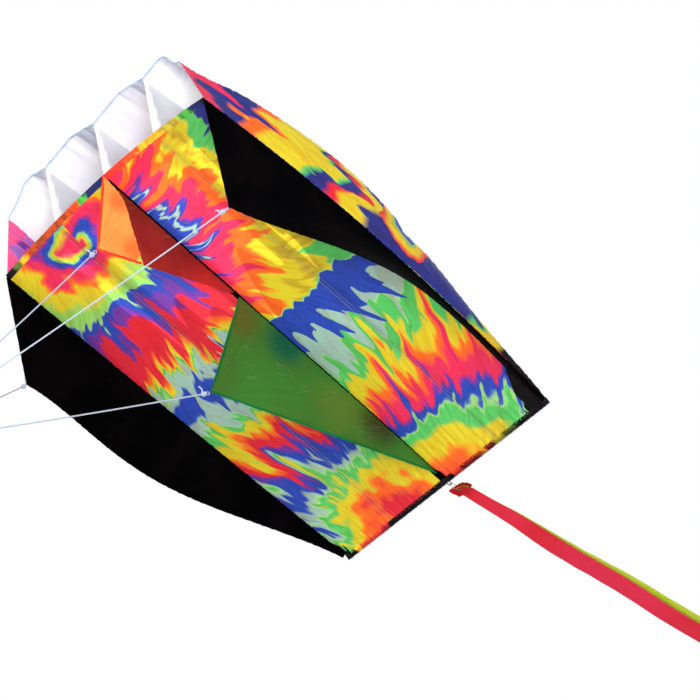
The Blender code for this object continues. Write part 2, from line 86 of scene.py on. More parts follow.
def blend(a: Array, b: Array, share: Array) -> Array:
    """The mix of a and b."""
    return a + (b - a) * share


@dataclass(frozen=True)
class Ruffle:
    """A row of uneven waves, as cloth makes where it is gathered."""

    height: float
    length: float  # the mean distance between two crests
    seed: float  # which of many such rows it is

    def at(self, along: Array, row: Array = 0.0) -> Array:
        """How high the waves stand.

        Args:
            along: Distance along the row, in metres.
            row: Which row it is, counted on from the seed.

        Returns:
            The waves' height at each place.
        """
        seed = self.seed + row
        turn = 2 * math.pi * np.asarray(along, float) / self.length
        drift = 1.3 * np.sin(turn * 0.23 + seed * 1.7) + 0.8 * np.sin(turn * 0.41 + seed * 4.1)
        wave = 0.6 * np.sin(turn + drift + seed) + 0.4 * np.sin(turn * 1.62 + drift * 0.6 + seed * 2.3)
        return self.height * wave


def through_knots(knots: Array, at: Array) -> Array:
    """Places on a smooth curve that goes through knots.

    Args:
        knots: The knots, with one more before the curve's start and one after its end.
        at: How many knots on from the start each place lies.

    Returns:
        The places.
    """
    i = at.astype(int)
    f = (at - i)[:, None]
    a, b, c, d = knots[i], knots[i + 1], knots[i + 2], knots[i + 3]
    return 0.5 * (2 * b + (c - a) * f + (2 * a - 5 * b + 4 * c - d) * f**2 + (3 * b - a - 3 * c + d) * f**3)


def smooth_profile(points: Points, samples: int = 240) -> tuple[Array, Array]:
    """A smooth curve through points that run on in x.

    Args:
        points: The curve's points.
        samples: How many places it is worked out at.

    Returns:
        The places and the heights there, for linear interpolation.
    """
    knots = np.array([points[0], *points, points[-1]], float)
    curve = through_knots(knots, np.linspace(0, len(points) - 1 - 1e-9, samples))
    return curve[:, 0], curve[:, 1]


def stack(x: Array, y: Array, z: Array) -> Array:
    """Points from their three coordinates, which may be of different shapes."""
    return np.stack(np.broadcast_arrays(x, y, z), axis=-1).astype(float)


def select_only(obj: Piece) -> None:
    """Makes a piece the only selected one, and the active one.

    Args:
        obj: The piece.
    """
    bpy.ops.object.select_all(action="DESELECT")
    obj.select_set(True)
    bpy.context.view_layer.objects.active = obj


def finish_mesh(obj: Piece, angle: float = 50.0) -> Piece:
    """Applies every modifier of a piece and shades it smooth but for its sharp edges.

    Args:
        obj: The piece.
        angle: The least angle of a sharp edge, in degrees.

    Returns:
        The piece.
    """
    select_only(obj)
    for modifier in list(obj.modifiers):
        bpy.ops.object.modifier_apply(modifier=modifier.name)
    bpy.ops.object.shade_smooth_by_angle(angle=math.radians(angle))
    return obj


def grid_piece(name: str, points: Array) -> Piece:
    """Adds a flat grid and lays it on a surface.

    Args:
        name: The piece's name.
        points: The surface, as rows of points.

    Returns:
        The piece, a single layer with a UV map that runs 0 to 1 both ways.
    """
    rows, columns = points.shape[0] - 1, points.shape[1] - 1
    bpy.ops.object.select_all(action="DESELECT")
    bpy.ops.mesh.primitive_grid_add(x_subdivisions=columns, y_subdivisions=rows, size=1.0, calc_uvs=True)
    obj = bpy.context.object
    obj.name = name
    obj.data.name = name
    obj.data.vertices.foreach_set("co", points.reshape(-1))
    obj.data.update()
    return obj


def scale_uv(obj: Piece, size: tuple[float, float]) -> None:
    """Scales a piece's UV map.

    Args:
        obj: The piece.
        size: The factors across and along.
    """
    layer = obj.data.uv_layers[0].data
    flat = np.empty(len(layer) * 2)
    layer.foreach_get("uv", flat)
    layer.foreach_set("uv", (flat.reshape(-1, 2) * size).reshape(-1))


def smooth_path(points: Points, count: int) -> Array:
    """Evenly shared points on a smooth curve through points.

    Args:
        points: The points it goes through.
        count: How many points it gives.

    Returns:
        The curve's points.
    """
    knots = np.array(points, float)
    knots = np.vstack([2 * knots[0] - knots[1], knots, 2 * knots[-1] - knots[-2]])
    spans = len(knots) - 3
    return through_knots(knots, np.minimum(np.linspace(0, spans, count), spans - 1e-9))


# ---- finishes ----


class Nodes:
    """The nodes of a material or of the world, which feed each other."""

    def __init__(self, tree: bpy.types.NodeTree) -> None:
        """Takes over a node tree."""
        self.nodes = tree.nodes
        self.links = tree.links

    def add(self, kind: str, **settings: object) -> bpy.types.Node:
        """A new node.

        Args:
            kind: Its type.
            settings: The properties to set on it.

        Returns:
            The node.
        """
        node = self.nodes.new(kind)
        for key, value in settings.items():
            setattr(node, key, value)
        return node

    def put(self, value: object, socket: Socket) -> None:
        """Links a socket to another, or writes a plain value into it.

        Args:
            value: The socket or value that goes in. None leaves the socket as it is.
            socket: Where it goes.
        """
        if isinstance(value, Socket):
            self.links.new(value, socket)
        elif value is not None:
            socket.default_value = value

    def fed(self, node: bpy.types.Node, *values: object) -> Socket:
        """Fills a node's inputs.

        Args:
            node: The node.
            values: The sockets or values that go in, from its first input on.

        Returns:
            Its first output.
        """
        for value, socket in zip(values, node.inputs):
            self.put(value, socket)
        return node.outputs[0]

    def math(self, operation: str, *values: object) -> Socket:
        """What a sum gives for these values."""
        return self.fed(self.add("ShaderNodeMath", operation=operation), *values)

    def plus(self, a: object, b: object) -> Socket:
        """a + b."""
        return self.math("ADD", a, b)

    def minus(self, a: object, b: object) -> Socket:
        """a - b."""
        return self.math("SUBTRACT", a, b)

    def times(self, a: object, b: object) -> Socket:
        """a * b."""
        return self.math("MULTIPLY", a, b)

    def times_plus(self, a: object, b: object, c: object) -> Socket:
        """a * b + c."""
        return self.math("MULTIPLY_ADD", a, b, c)


class Graph(Nodes):
    """A material whose colour and relief come from nodes."""

    def __init__(self, name: str, roughness: float, metallic: float = 0.0, sheen: float = 0.0,
                 specular: float = 0.12) -> None:
        """Starts a material.

        Args:
            name: The material's name.
            roughness: The surface's roughness.
            metallic: 1 for bare metal.
            sheen: The strength of the cloth's sheen.
            specular: The strength of its gloss.
        """
        self.material = bpy.data.materials.new(name)
        self.material.use_nodes = True
        super().__init__(self.material.node_tree)
        self.shader = self.nodes["Principled BSDF"]
        self.shader.inputs["Roughness"].default_value = roughness
        self.shader.inputs["Metallic"].default_value = metallic
        self.shader.inputs["Sheen Weight"].default_value = sheen
        self.shader.inputs["Specular IOR Level"].default_value = specular
        self.height: Socket | None = None

    def place(self, kind: str = "Object") -> tuple[Socket, Socket, Socket]:
        """Where a point is.

        Args:
            kind: Object for its place on the kite, UV for its place on the piece's own cloth or cord.

        Returns:
            Its three coordinates.
        """
        node = self.add("ShaderNodeSeparateXYZ")
        self.put(self.add("ShaderNodeTexCoord").outputs[kind], node.inputs[0])
        return node.outputs[0], node.outputs[1], node.outputs[2]

    def vector(self, *values: object) -> Socket:
        """A vector with these coordinates. Those left out are 0."""
        return self.fed(self.add("ShaderNodeCombineXYZ"), *values)

    def noise(self, vector: Socket, scale: float, detail: float = 1.0) -> Socket:
        """Smooth noise at a place, mostly from 0.3 to 0.7, that changes about scale times a metre."""
        return self.fed(self.add("ShaderNodeTexNoise", noise_dimensions="3D"), vector, None, scale, detail)

    def span(self, value: object, low: float, high: float, to_low: float = 0.0,
             to_high: float = 1.0) -> Socket:
        """Maps low to high smoothly onto to_low to to_high, and holds still outside."""
        node = self.add("ShaderNodeMapRange", interpolation_type="SMOOTHSTEP")
        return self.fed(node, value, low, high, to_low, to_high)

    def ramp(self, value: object, stops: Stops) -> Socket:
        """Colours along a value.

        Args:
            value: The value.
            stops: The colours and their places from 0 to 1.

        Returns:
            The colour.
        """
        node = self.add("ShaderNodeValToRGB")
        elements = node.color_ramp.elements
        while len(elements) < len(stops):
            elements.new(0.5)
        for element, (position, colour) in zip(elements, sorted(stops)):
            element.position = position
            element.color = (*colour, 1.0)
        self.put(value, node.inputs[0])
        return node.outputs[0]

    def long_ramp(self, value: Socket, stops: Stops, most: int = 30) -> Socket:
        """Colours along a value, shared out among as many ramps as their stops need.

        Args:
            value: The value.
            stops: The colours and their places from 0 to 1.
            most: How many stops a ramp may have.

        Returns:
            The colour.
        """
        stops = sorted(stops)
        colour = self.ramp(value, stops[:most])
        for first in range(most, len(stops), most):
            further = self.ramp(value, stops[first:first + most])
            middle = (stops[first - 1][0] + stops[first][0]) / 2
            colour = self.mix(self.math("GREATER_THAN", value, middle), colour, further)
        return colour

    def mix(self, share: object, a: object, b: object, kind: str = "MIX") -> Socket:
        """The mix of two colours.

        Args:
            share: How much of b there is.
            a: The first colour.
            b: The second.
            kind: How they are mixed.

        Returns:
            The colour.
        """
        node = self.add("ShaderNodeMix", data_type="RGBA", blend_type=kind)
        self.put(share, node.inputs["Factor"])
        for value, socket in ((a, node.inputs[6]), (b, node.inputs[7])):
            self.put((*value, 1.0) if isinstance(value, tuple) else value, socket)
        return node.outputs[2]

    def relief(self, height: Socket, depth: float) -> None:
        """Adds a relief, depth metres deep, to what the surface has already."""
        scaled = self.times(height, depth)
        self.height = scaled if self.height is None else self.plus(self.height, scaled)

    def done(self, colour: object) -> Material:
        """Wires up the colour and the relief.

        Args:
            colour: The surface's colour.

        Returns:
            The finished material.
        """
        self.put((*colour, 1.0) if isinstance(colour, tuple) else colour, self.shader.inputs["Base Color"])
        if self.height is not None:
            bump = self.add("ShaderNodeBump")
            bump.inputs["Distance"].default_value = 1.0
            self.put(self.height, bump.inputs["Height"])
            self.put(bump.outputs[0], self.shader.inputs["Normal"])
        return self.material

    def ripstop(self, a: Socket, b: Socket) -> None:
        """Relief of a ripstop weave: fine threads, and a coarser grid of doubled ones.

        Args:
            a: The place across the cloth.
            b: The place along it.
        """
        threads, grid, doubled = 0.0009, 0.005, 0.08
        fine = self.plus(self.wave(a, threads), self.wave(b, threads))
        self.relief(fine, 0.000012)
        lines = self.math("MAXIMUM", self.line(a, grid, doubled), self.line(b, grid, doubled))
        self.relief(lines, 0.00003)

    def wave(self, along: Socket, period: float) -> Socket:
        """A sine wave along a coordinate."""
        return self.math("SINE", self.times(along, 2 * math.pi / period))

    def line(self, along: Socket, period: float, share: float) -> Socket:
        """1 on a narrow line once every period, and 0 between."""
        turn = self.math("FRACT", self.math("DIVIDE", along, period))
        return self.math("LESS_THAN", turn, share)


class Way(Enum):
    """Which two coordinates a piece of cloth is woven along."""

    SPAN = (0, 1)
    RIB = (2, 1)


@dataclass(frozen=True)
class Glow:
    """A soft patch where more or less light comes through a cloth, at a place along its two directions."""

    centre: tuple[float, float]
    radius: float
    colour: Colour
    strength: float = 0.8


@dataclass(frozen=True)
class Cloth:
    """A plain-coloured ripstop with soft uneven shading, as thin cloth has when light comes through it."""

    name: str
    colour: Colour
    shade: Colour
    way: Way = Way.SPAN
    roughness: float = 0.7
    specular: float = 0.12
    blotch: float = 14.0
    folded: Colour | None = None  # the colour laid where the painted_shading attribute says: painted shade on the top skins, and on the ribs their own white, left along the front of a rib drawn grey as painted shade
    glows: tuple[Glow, ...] = ()
    creases: float = 0.0  # how strong the painted highlight along the fine slanting creases is; 0 for no creases

    def make(self) -> Material:
        """Builds the material.

        Returns:
            The material.
        """
        graph = Graph(self.name, self.roughness, specular=self.specular)
        place = graph.place()
        a, b = (place[i] for i in self.way.value)
        cloud = graph.noise(graph.vector(*place), self.blotch, 2.0)
        graph.ripstop(a, b)
        colour = graph.mix(graph.span(cloud, 0.35, 0.7), self.colour, self.shade)
        for glow in self.glows:
            colour = self.lit(graph, a, b, cloud, glow, colour)
        if self.creases:
            colour = self.creased(graph, a, b, colour)
        # Painted shading: the folded colour, laid where the piece's painted_shading attribute says
        if self.folded is not None:
            node = graph.add("ShaderNodeAttribute", attribute_name="painted_shading")
            colour = graph.mix(node.outputs["Fac"], colour, self.folded)
        return graph.done(colour)

    def lit(self, graph: Graph, a: Socket, b: Socket, cloud: Socket, glow: Glow, colour: object) -> Socket:
        """Lays a soft patch over the colour.

        Args:
            graph: The material.
            a: The place across the cloth.
            b: The place along it.
            cloud: The noise that makes the patch's edge uneven.
            glow: The patch.
            colour: The colour so far.

        Returns:
            The colour with the patch.
        """
        off = [graph.minus(value, middle) for value, middle in zip((a, b), glow.centre)]
        away = graph.math("SQRT", graph.times_plus(off[0], off[0], graph.times(off[1], off[1])))
        away = graph.plus(away, graph.times_plus(cloud, 0.3 * glow.radius, -0.15 * glow.radius))
        share = graph.span(away, 0.2 * glow.radius, glow.radius, glow.strength, 0.0)
        return graph.mix(share, colour, glow.colour)

    def creased(self, graph: Graph, a: Socket, b: Socket, colour: object) -> Socket:
        """Adds fine slanting creases, in patches, as relief and as a painted highlight along them.

        Args:
            graph: The material.
            a: The place across the cloth.
            b: The place along it.
            colour: The colour so far.

        Returns:
            The colour with the creases.
        """
        slant = graph.vector(graph.minus(a, b), graph.times(graph.plus(a, b), 0.12), 3.0)
        fine = graph.math("ABSOLUTE", graph.minus(graph.noise(slant, 70.0, 1.0), 0.5))
        crease = graph.span(fine, 0.0, 0.025, 1.0, 0.0)
        patchy = graph.span(graph.noise(graph.vector(a, b, 5.0), 22.0, 0.0), 0.5, 0.65)
        crease = graph.times(crease, patchy)
        graph.relief(crease, 0.0003)
        # Painted highlight: the creases drawn paler than the cloth
        return graph.mix(graph.times(crease, self.creases), colour, (0.55, 0.6, 0.4))


@dataclass(frozen=True)
class Burst:
    """One centre of the dye: rings that straighten into bands further out and break into flames.

    Distances are in metres from the centre, along the cloth's second direction.
    """

    centre: tuple[float, float]
    bands: tuple[tuple[float, Colour], ...]
    towards: int = 1  # 1 where the bands run on towards the back of the kite, -1 towards its mouth
    widen: float = 1.0  # how much faster the rings go by across than along
    flatten: float = 0.12  # the distance out over which they straighten
    reach: float = 0.30  # how far behind the centre the flames fan out from
    aside: float = 0.0  # how far to the left of the centre they do
    flames: float = 17.0  # how many flames there are to a radian
    flame_length: float = 0.10
    core_jag: float = 0.02  # how far the rings stray near the centre
    spiky: float = 0.5  # how many of the flames are long and thin
    licks: float = 0.045  # how far out the thin streaks take their colour from
    calm: tuple[float, float] = (0.03, 0.18)  # the flames grow to their full length between these distances
    swirl: float = 0.0  # how much further out a ring is after one turn
    starts: float = -10.0  # the place along the cloth from which this centre rules
    frayed: float = 0.0  # how deep the small teeth are there
    radius: float = 10.0  # the distance out to which it rules
    seed: float = 0.0
    stray: float = 0.016  # how far wet dye has run out of true
    span: float = 0.80  # the distance out that the bands' colours cover
    core_grain: float = 24.0  # how many tongues there are to a metre near the centre
    flame_grain: float = 2.6  # how many flames follow each other in a metre out
    lick_grain: float = 8.0  # how many thin streaks do

    def edge(self, a: Colour, b: Colour) -> tuple[Colour | None, float]:
        """How two dyes meet.

        Args:
            a: The inner dye.
            b: The outer dye.

        Returns:
            The colour of the thin line between them, if they leave one, and how far they run together.
        """
        cool = [c[2] > 0.25 for c in (a, b)]
        red = [c[0] > 0.5 and c[1] < 0.2 for c in (a, b)]
        green = [c[1] > 0.5 and c[0] < 0.3 for c in (a, b)]
        if not any(cool):
            return None, 0.005 if any(green) else 0.008
        if all(cool):
            return None, 0.004
        if any(red):
            return srgb(150, 50, 150), 0.006
        return srgb(170, 225, 130), 0.0045

    def stops(self) -> Stops:
        """The bands as colour stops, with a thin line between dyes that do not mix.

        Returns:
            The stops.
        """
        found = [(0.0, self.bands[0][1])]
        starts = [start for start, _ in self.bands] + [self.span]
        for index in range(1, len(self.bands)):
            line, soft = self.edge(self.bands[index - 1][1], self.bands[index][1])
            inner, outer = starts[index] - starts[index - 1], starts[index + 1] - starts[index]
            soft = min(soft, 0.45 * inner, 0.45 * outer)
            at, width = starts[index] / self.span, soft / self.span
            found.append((at - width, self.bands[index - 1][1]))
            if line is not None:
                found.append((at, line))
            found.append((at + width, self.bands[index][1]))
        return found

    def strayed(self, graph: Graph, a: Socket, b: Socket) -> tuple[Socket, Socket]:
        """The place that wet dye has run from.

        Args:
            graph: The material.
            a: The place across the cloth that it has run to.
            b: The place along it.

        Returns:
            The place that it comes from, across and along.
        """
        moved = []
        for index, value in enumerate((a, b)):
            slow = graph.noise(graph.vector(a, b, self.seed + 3.7 * index), 11.0, 0.0)
            fine = graph.noise(graph.vector(a, b, self.seed + 3.7 * index), 30.0, 0.0)
            off = graph.times_plus(slow, 2.6 * self.stray, -1.3 * self.stray)
            off = graph.times_plus(fine, 0.5 * self.stray, graph.plus(off, -self.stray / 4))
            moved.append(graph.plus(value, off))
        return moved[0], moved[1]

    def paint(self, graph: Graph, a: Socket, b: Socket) -> tuple[Socket, Socket]:
        """Adds this centre's nodes.

        Args:
            graph: The material.
            a: The place across the cloth.
            b: The place along it.

        Returns:
            The colour, and a mask that is 1 where this centre rules.
        """
        at, along = self.strayed(graph, a, b)
        across = graph.minus(at, self.centre[0])
        out = graph.times(graph.minus(along, self.centre[1]), float(self.towards))
        stretch = graph.math("DIVIDE", graph.math("MAXIMUM", out, 0.0), self.flatten)
        straight = graph.math("SQRT", graph.times_plus(stretch, stretch, 1.0))
        wide = graph.math("DIVIDE", graph.times(across, self.widen), straight)
        ring = graph.math("SQRT", graph.times_plus(wide, wide, graph.times(out, out)))
        turn = graph.math("ARCTAN2", across, out)
        fan = graph.math("ARCTAN2", graph.plus(across, self.aside), graph.plus(out, self.reach))
        near = graph.vector(graph.times(a, self.core_grain), graph.times(b, self.core_grain), self.seed)
        far = self.fanned(graph, fan, ring, 1.0, self.flame_grain, 1.7, 0.0)
        away = self.fanned(graph, fan, ring, 1.0, self.flame_grain, 2.9, 20.0)
        grown = graph.span(ring, *self.calm)
        flame = graph.times_plus(graph.noise(far, 0.7, 0.0), 1.0, -0.50)
        flame = graph.plus(flame, graph.times(self.ridge(graph, far), -0.60))
        flame = graph.plus(flame, graph.times(self.ridge(graph, away), 0.60))
        flame = graph.plus(flame, graph.times(self.spikes(graph, far), self.spiky))
        tongue = graph.times_plus(graph.noise(near, 1.0, 1.0), 2.0, -1.0)
        jag = graph.plus(graph.times(graph.times(flame, grown), self.flame_length),
                         graph.times(graph.times(tongue, graph.minus(1.0, grown)), self.core_jag))
        soft = graph.noise(graph.vector(at, along, self.seed), 60.0, 1.0)
        phase = graph.plus(graph.plus(ring, jag), graph.times_plus(soft, 0.008, -0.004))
        lick = graph.noise(self.fanned(graph, fan, ring, 2.1, self.lick_grain, 3.1, 40.0), 1.0, 0.0)
        licks = graph.minus(graph.span(lick, 0.60, 0.70), graph.span(lick, 0.40, 0.30))
        phase = graph.times_plus(graph.times(licks, grown), self.licks, phase)
        if self.swirl:
            core = graph.times(graph.span(ring, *self.calm, 1.0, 0.0), self.swirl / (2 * math.pi))
            phase = graph.times_plus(turn, core, phase)
        colour = graph.long_ramp(graph.math("DIVIDE", phase, self.span), self.stops())
        streak = graph.span(graph.noise(far, 4.2, 1.0), 0.45, 0.68, 0.0, 0.55)
        colour = graph.mix(streak, colour, (0.92, 0.66, 0.60), "MULTIPLY")
        worn = graph.noise(graph.vector(at, along, self.seed + 8.0), 46.0, 2.0)
        pale = graph.span(worn, 0.50, 0.75, 0.0, 0.5)
        colour = graph.mix(pale, colour, (1.0, 0.80, 0.60), "MULTIPLY")
        teeth = self.ridge(graph, graph.vector(graph.times(a, 34.0), graph.times(b, 6.0), 2.0))
        start = graph.times_plus(teeth, self.frayed, along)
        if self.frayed:
            colour = graph.mix(graph.span(start, self.starts + 0.0015, self.starts + 0.004, 1.0, 0.0), colour,
                               srgb(150, 215, 130))
        rules = graph.times(graph.math("GREATER_THAN", start, self.starts),
                            graph.math("LESS_THAN", phase, self.radius))
        return colour, rules

    def fanned(self, graph: Graph, fan: Socket, ring: Socket, finer: float, grain: float, shift: float,
               layer: float) -> Socket:
        """The place in a noise that is drawn out into flames.

        Args:
            graph: The material.
            fan: The angle that the flames fan out at.
            ring: The distance out.
            finer: How much narrower than a flame its streaks are.
            grain: How many of them follow each other in a metre out.
            shift: How far it is turned, for each step of the seed.
            layer: Which layer of the noise it is.

        Returns:
            The place.
        """
        turned = graph.times_plus(fan, finer * self.flames, self.seed * shift)
        return graph.vector(turned, graph.times_plus(ring, grain, self.seed), self.seed + layer)

    def spikes(self, graph: Graph, vector: Socket) -> Socket:
        """Sparse long spikes.

        Args:
            graph: The material.
            vector: The place that they are read at.

        Returns:
            Their height, to both sides of 0.
        """
        noise = graph.noise(vector, 1.5, 0.0)
        high = graph.math("MAXIMUM", graph.minus(noise, 0.55), 0.0)
        low = graph.math("MAXIMUM", graph.minus(0.45, noise), 0.0)
        return graph.times(graph.minus(high, low), 5.0)

    def ridge(self, graph: Graph, vector: Socket) -> Socket:
        """Noise with sharp valleys and round tops, from 0 to about 1."""
        noise = graph.noise(vector, 1.0, 0.2)
        return graph.times(graph.math("ABSOLUTE", graph.minus(noise, 0.5)), 3.4)


@dataclass(frozen=True)
class TieDye:
    """Ripstop dyed from several centres, the later ones over the earlier."""

    name: str
    bursts: tuple[Burst, ...]
    way: Way = Way.SPAN
    seam: float = 0.0  # how far to the side a rib is sewn on behind the cloth

    def make(self) -> Material:
        """Builds the material.

        Returns:
            The material.
        """
        graph = Graph(self.name, 0.7)
        place = graph.place()
        a, b = (place[i] for i in self.way.value)
        colour, _ = self.bursts[0].paint(graph, a, b)
        for burst in self.bursts[1:]:
            further, rules = burst.paint(graph, a, b)
            colour = graph.mix(rules, colour, further)
        cloud = graph.noise(graph.vector(*place), 11.0, 3.0)
        colour = graph.mix(graph.span(cloud, 0.42, 0.75, 0.0, 0.14), colour, (0.05, 0.02, 0.03))
        if self.seam:
            colour = self.sewn(graph, a, b, colour)
        graph.ripstop(a, b)
        return graph.done(colour)

    def sewn(self, graph: Graph, a: Socket, b: Socket, colour: object) -> Socket:
        """Adds the rib's shadow and the two rows of stitches that hold it.

        Args:
            graph: The material.
            a: The place across the cloth.
            b: The place along it.
            colour: The colour so far.

        Returns:
            The colour with the seam.
        """
        row_off, half_thread, stitch_length, sewn_share = 0.0035, 0.0004, 0.003, 0.7
        off = graph.math("ABSOLUTE", graph.minus(graph.math("ABSOLUTE", a), self.seam))
        shadow = graph.span(off, 0.003, 0.009, 0.16, 0.0)
        colour = graph.mix(shadow, colour, (0.06, 0.03, 0.02))
        row = graph.math("LESS_THAN", graph.math("ABSOLUTE", graph.minus(off, row_off)), half_thread)
        stitch = graph.times(row, graph.line(b, stitch_length, sewn_share))
        graph.relief(stitch, -0.0002)
        return graph.mix(graph.times(stitch, 0.35), colour, (0.7, 0.7, 0.7))


@dataclass(frozen=True)
class EdgeDye:
    """A hem's cloth, whose colour changes along it where the print was cut across."""

    name: str
    colours: tuple[tuple[float, Colour], ...]
    stray: float = 0.03  # how far each colour's end strays
    span: float = 0.62  # the hem's length
    soft: float = 0.006  # half the share of it over which two colours run together
    pale_fold_from: float = 10.0  # the place along the kite from which its fold is drawn pale

    def make(self) -> Material:
        """Builds the material.

        Returns:
            The material.
        """
        graph = Graph(self.name, 0.75)
        place = graph.place()
        jag = graph.noise(graph.vector(*place), 60.0, 2.0)
        at = graph.plus(graph.times_plus(jag, self.stray, self.span / 2 - self.stray / 2), place[0])
        stops: list[tuple[float, Colour]] = []
        for index, (start, colour) in enumerate(self.colours):
            share = (start + self.span / 2) / self.span
            if index:
                stops.append((share - self.soft, self.colours[index - 1][1]))
            stops.append((share + self.soft, colour))
        colour = graph.long_ramp(graph.math("DIVIDE", at, self.span), stops)
        cloud = graph.noise(graph.vector(*place), 90.0, 2.0)
        graph.ripstop(place[0], place[1])
        colour = graph.mix(graph.span(cloud, 0.4, 0.7, 0.0, 0.5), colour, (0.012, 0.01, 0.016))
        inner = graph.span(place[1], self.pale_fold_from - 0.0094, self.pale_fold_from - 0.0034, 1.0, 0.0)
        colour = graph.mix(inner, colour, (2.2, 2.0, 1.6), "MULTIPLY")
        edge = graph.math("GREATER_THAN", place[1], self.pale_fold_from)
        return graph.done(graph.mix(edge, colour, srgb(214, 222, 236)))


@dataclass(frozen=True)
class Line:
    """Braided line, whose strands cross at a slant round it, with painted shade in the grooves between them.
    """

    name: str
    colour: Colour
    # the painted shade in the grooves between the strands
    groove_shade: Colour
    strand: float = 0.0016

    def make(self) -> Material:
        """Builds the material.

        Returns:
            The material.
        """
        graph = Graph(self.name, 0.55, sheen=0.2)
        around, along, _ = graph.place("UV")
        left = graph.wave(graph.plus(along, around), self.strand)
        right = graph.wave(graph.minus(along, around), self.strand)
        braid = graph.math("MAXIMUM", left, right)
        graph.relief(braid, 0.00012)
        return graph.done(graph.mix(graph.span(braid, 0.2, 0.9), self.groove_shade, self.colour))


@dataclass(frozen=True)
class Metal:
    """Bare metal with fine drawing marks and a little tarnish."""

    name: str
    colour: Colour
    tarnish: Colour
    roughness: float = 0.28

    def make(self) -> Material:
        """Builds the material.

        Returns:
            The material.
        """
        graph = Graph(self.name, self.roughness, metallic=1.0)
        x, y, z = graph.place()
        cloud = graph.noise(graph.vector(x, y, z), 420.0, 2.0)
        graph.relief(cloud, 0.00004)
        rough = graph.span(cloud, 0.3, 0.7, self.roughness, self.roughness + 0.2)
        graph.put(rough, graph.shader.inputs["Roughness"])
        return graph.done(graph.mix(graph.span(cloud, 0.45, 0.75), self.colour, self.tarnish))


# ---- making pieces ----


def hand_over(obj: Piece, finish: Material, body: str, slot: str, *nodes: str) -> None:
    """Dresses a finished piece and fixes it to its body.

    Args:
        obj: The piece.
        finish: Its material.
        body: The body that it moves with.
        slot: The CAD material that its finish stands for; not used.
        nodes: The CAD nodes that it stands for.
    """
    obj.data.materials.clear()
    obj.data.materials.append(finish)
    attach(obj, body)
    if nodes:
        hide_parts(*nodes)
    LOG.info("%s rides on %s", obj.name, body)


def path_length(path: Array) -> float:
    """How long a path is."""
    return float(np.linalg.norm(np.diff(path, axis=0), axis=1).sum())


def metre_uv(obj: Piece, points: Array) -> None:
    """Scales a grid piece's UV map to metres, by the length of its middle row and column."""
    rows, columns = points.shape[:2]
    scale_uv(obj, (path_length(points[rows // 2]), path_length(points[:, columns // 2])))


def sheet_piece(name: str, points: Array, thickness: float = FABRIC,
                painted_shading: Array | None = None) -> Piece:
    """A sheet of cloth with thickness through a grid of points, its UV map in metres.

    Args:
        name: The piece's name.
        points: The surface, as rows of points.
        thickness: Its thickness.
        painted_shading: How strong its cloth's painted shading is at each point, from 0 to 1, for a cloth
            that has it.

    Returns:
        The piece.
    """
    obj = grid_piece(name, points)
    metre_uv(obj, points)
    if painted_shading is not None:
        obj.data.attributes.new("painted_shading", "FLOAT", "POINT").data.foreach_set("value", painted_shading.reshape(-1))
    wall = obj.modifiers.new("thickness", "SOLIDIFY")
    wall.thickness = thickness
    wall.offset = 0.0
    finish_mesh(obj)
    return obj


def close_ends(obj: Piece) -> Piece:
    """Merges the long edges of a rolled-up grid, caps its open ends and turns its faces outwards.

    Args:
        obj: The piece.

    Returns:
        The piece, closed.
    """
    select_only(obj)
    bpy.ops.object.mode_set(mode="EDIT")
    bpy.ops.mesh.select_all(action="SELECT")
    bpy.ops.mesh.remove_doubles(threshold=1e-6)
    bpy.ops.mesh.select_all(action="DESELECT")
    bpy.ops.mesh.select_non_manifold(extend=False)
    bpy.ops.mesh.fill_holes(sides=0)
    bpy.ops.mesh.select_all(action="SELECT")
    bpy.ops.mesh.normals_make_consistent(inside=False)
    bpy.ops.object.mode_set(mode="OBJECT")
    return obj


def fold_piece(name: str, edge: Array, inner: Array, half: float, back_half: float | None = None) -> Piece:
    """A hem: cloth folded over an edge, flat on both faces and round at the fold.

    Args:
        name: The piece's name.
        edge: The fold line's points.
        inner: The points where the hem ends on the cloth, one for each fold point.
        half: Half its thickness at its inner side.
        back_half: The same at the fold, if it differs.

    Returns:
        The closed piece.
    """
    back = half if back_half is None else back_half
    along = np.gradient(edge, axis=0)
    inward = inner - edge
    width = np.linalg.norm(inward, axis=1, keepdims=True)
    inward = inward / width
    normal = np.cross(along, inward)
    normal /= np.linalg.norm(normal, axis=1, keepdims=True)
    turns = np.radians(np.linspace(90, 270, 7))
    profile = [(1.0, half), (0.55, 0.35 * half + 0.65 * back)]
    profile += [(None, math.cos(t), math.sin(t)) for t in turns]
    profile += [(0.55, -0.35 * half - 0.65 * back), (1.0, -half), (1.0, half)]
    columns = []
    for item in profile:
        if item[0] is None:
            columns.append(edge + inward * (back + back * item[1]) + normal * back * item[2])
        else:
            columns.append(edge + inward * width * item[0] + normal * item[1])
    points = np.stack(columns, axis=1)
    obj = grid_piece(name, points)
    metre_uv(obj, points)
    return finish_mesh(close_ends(obj), 60)


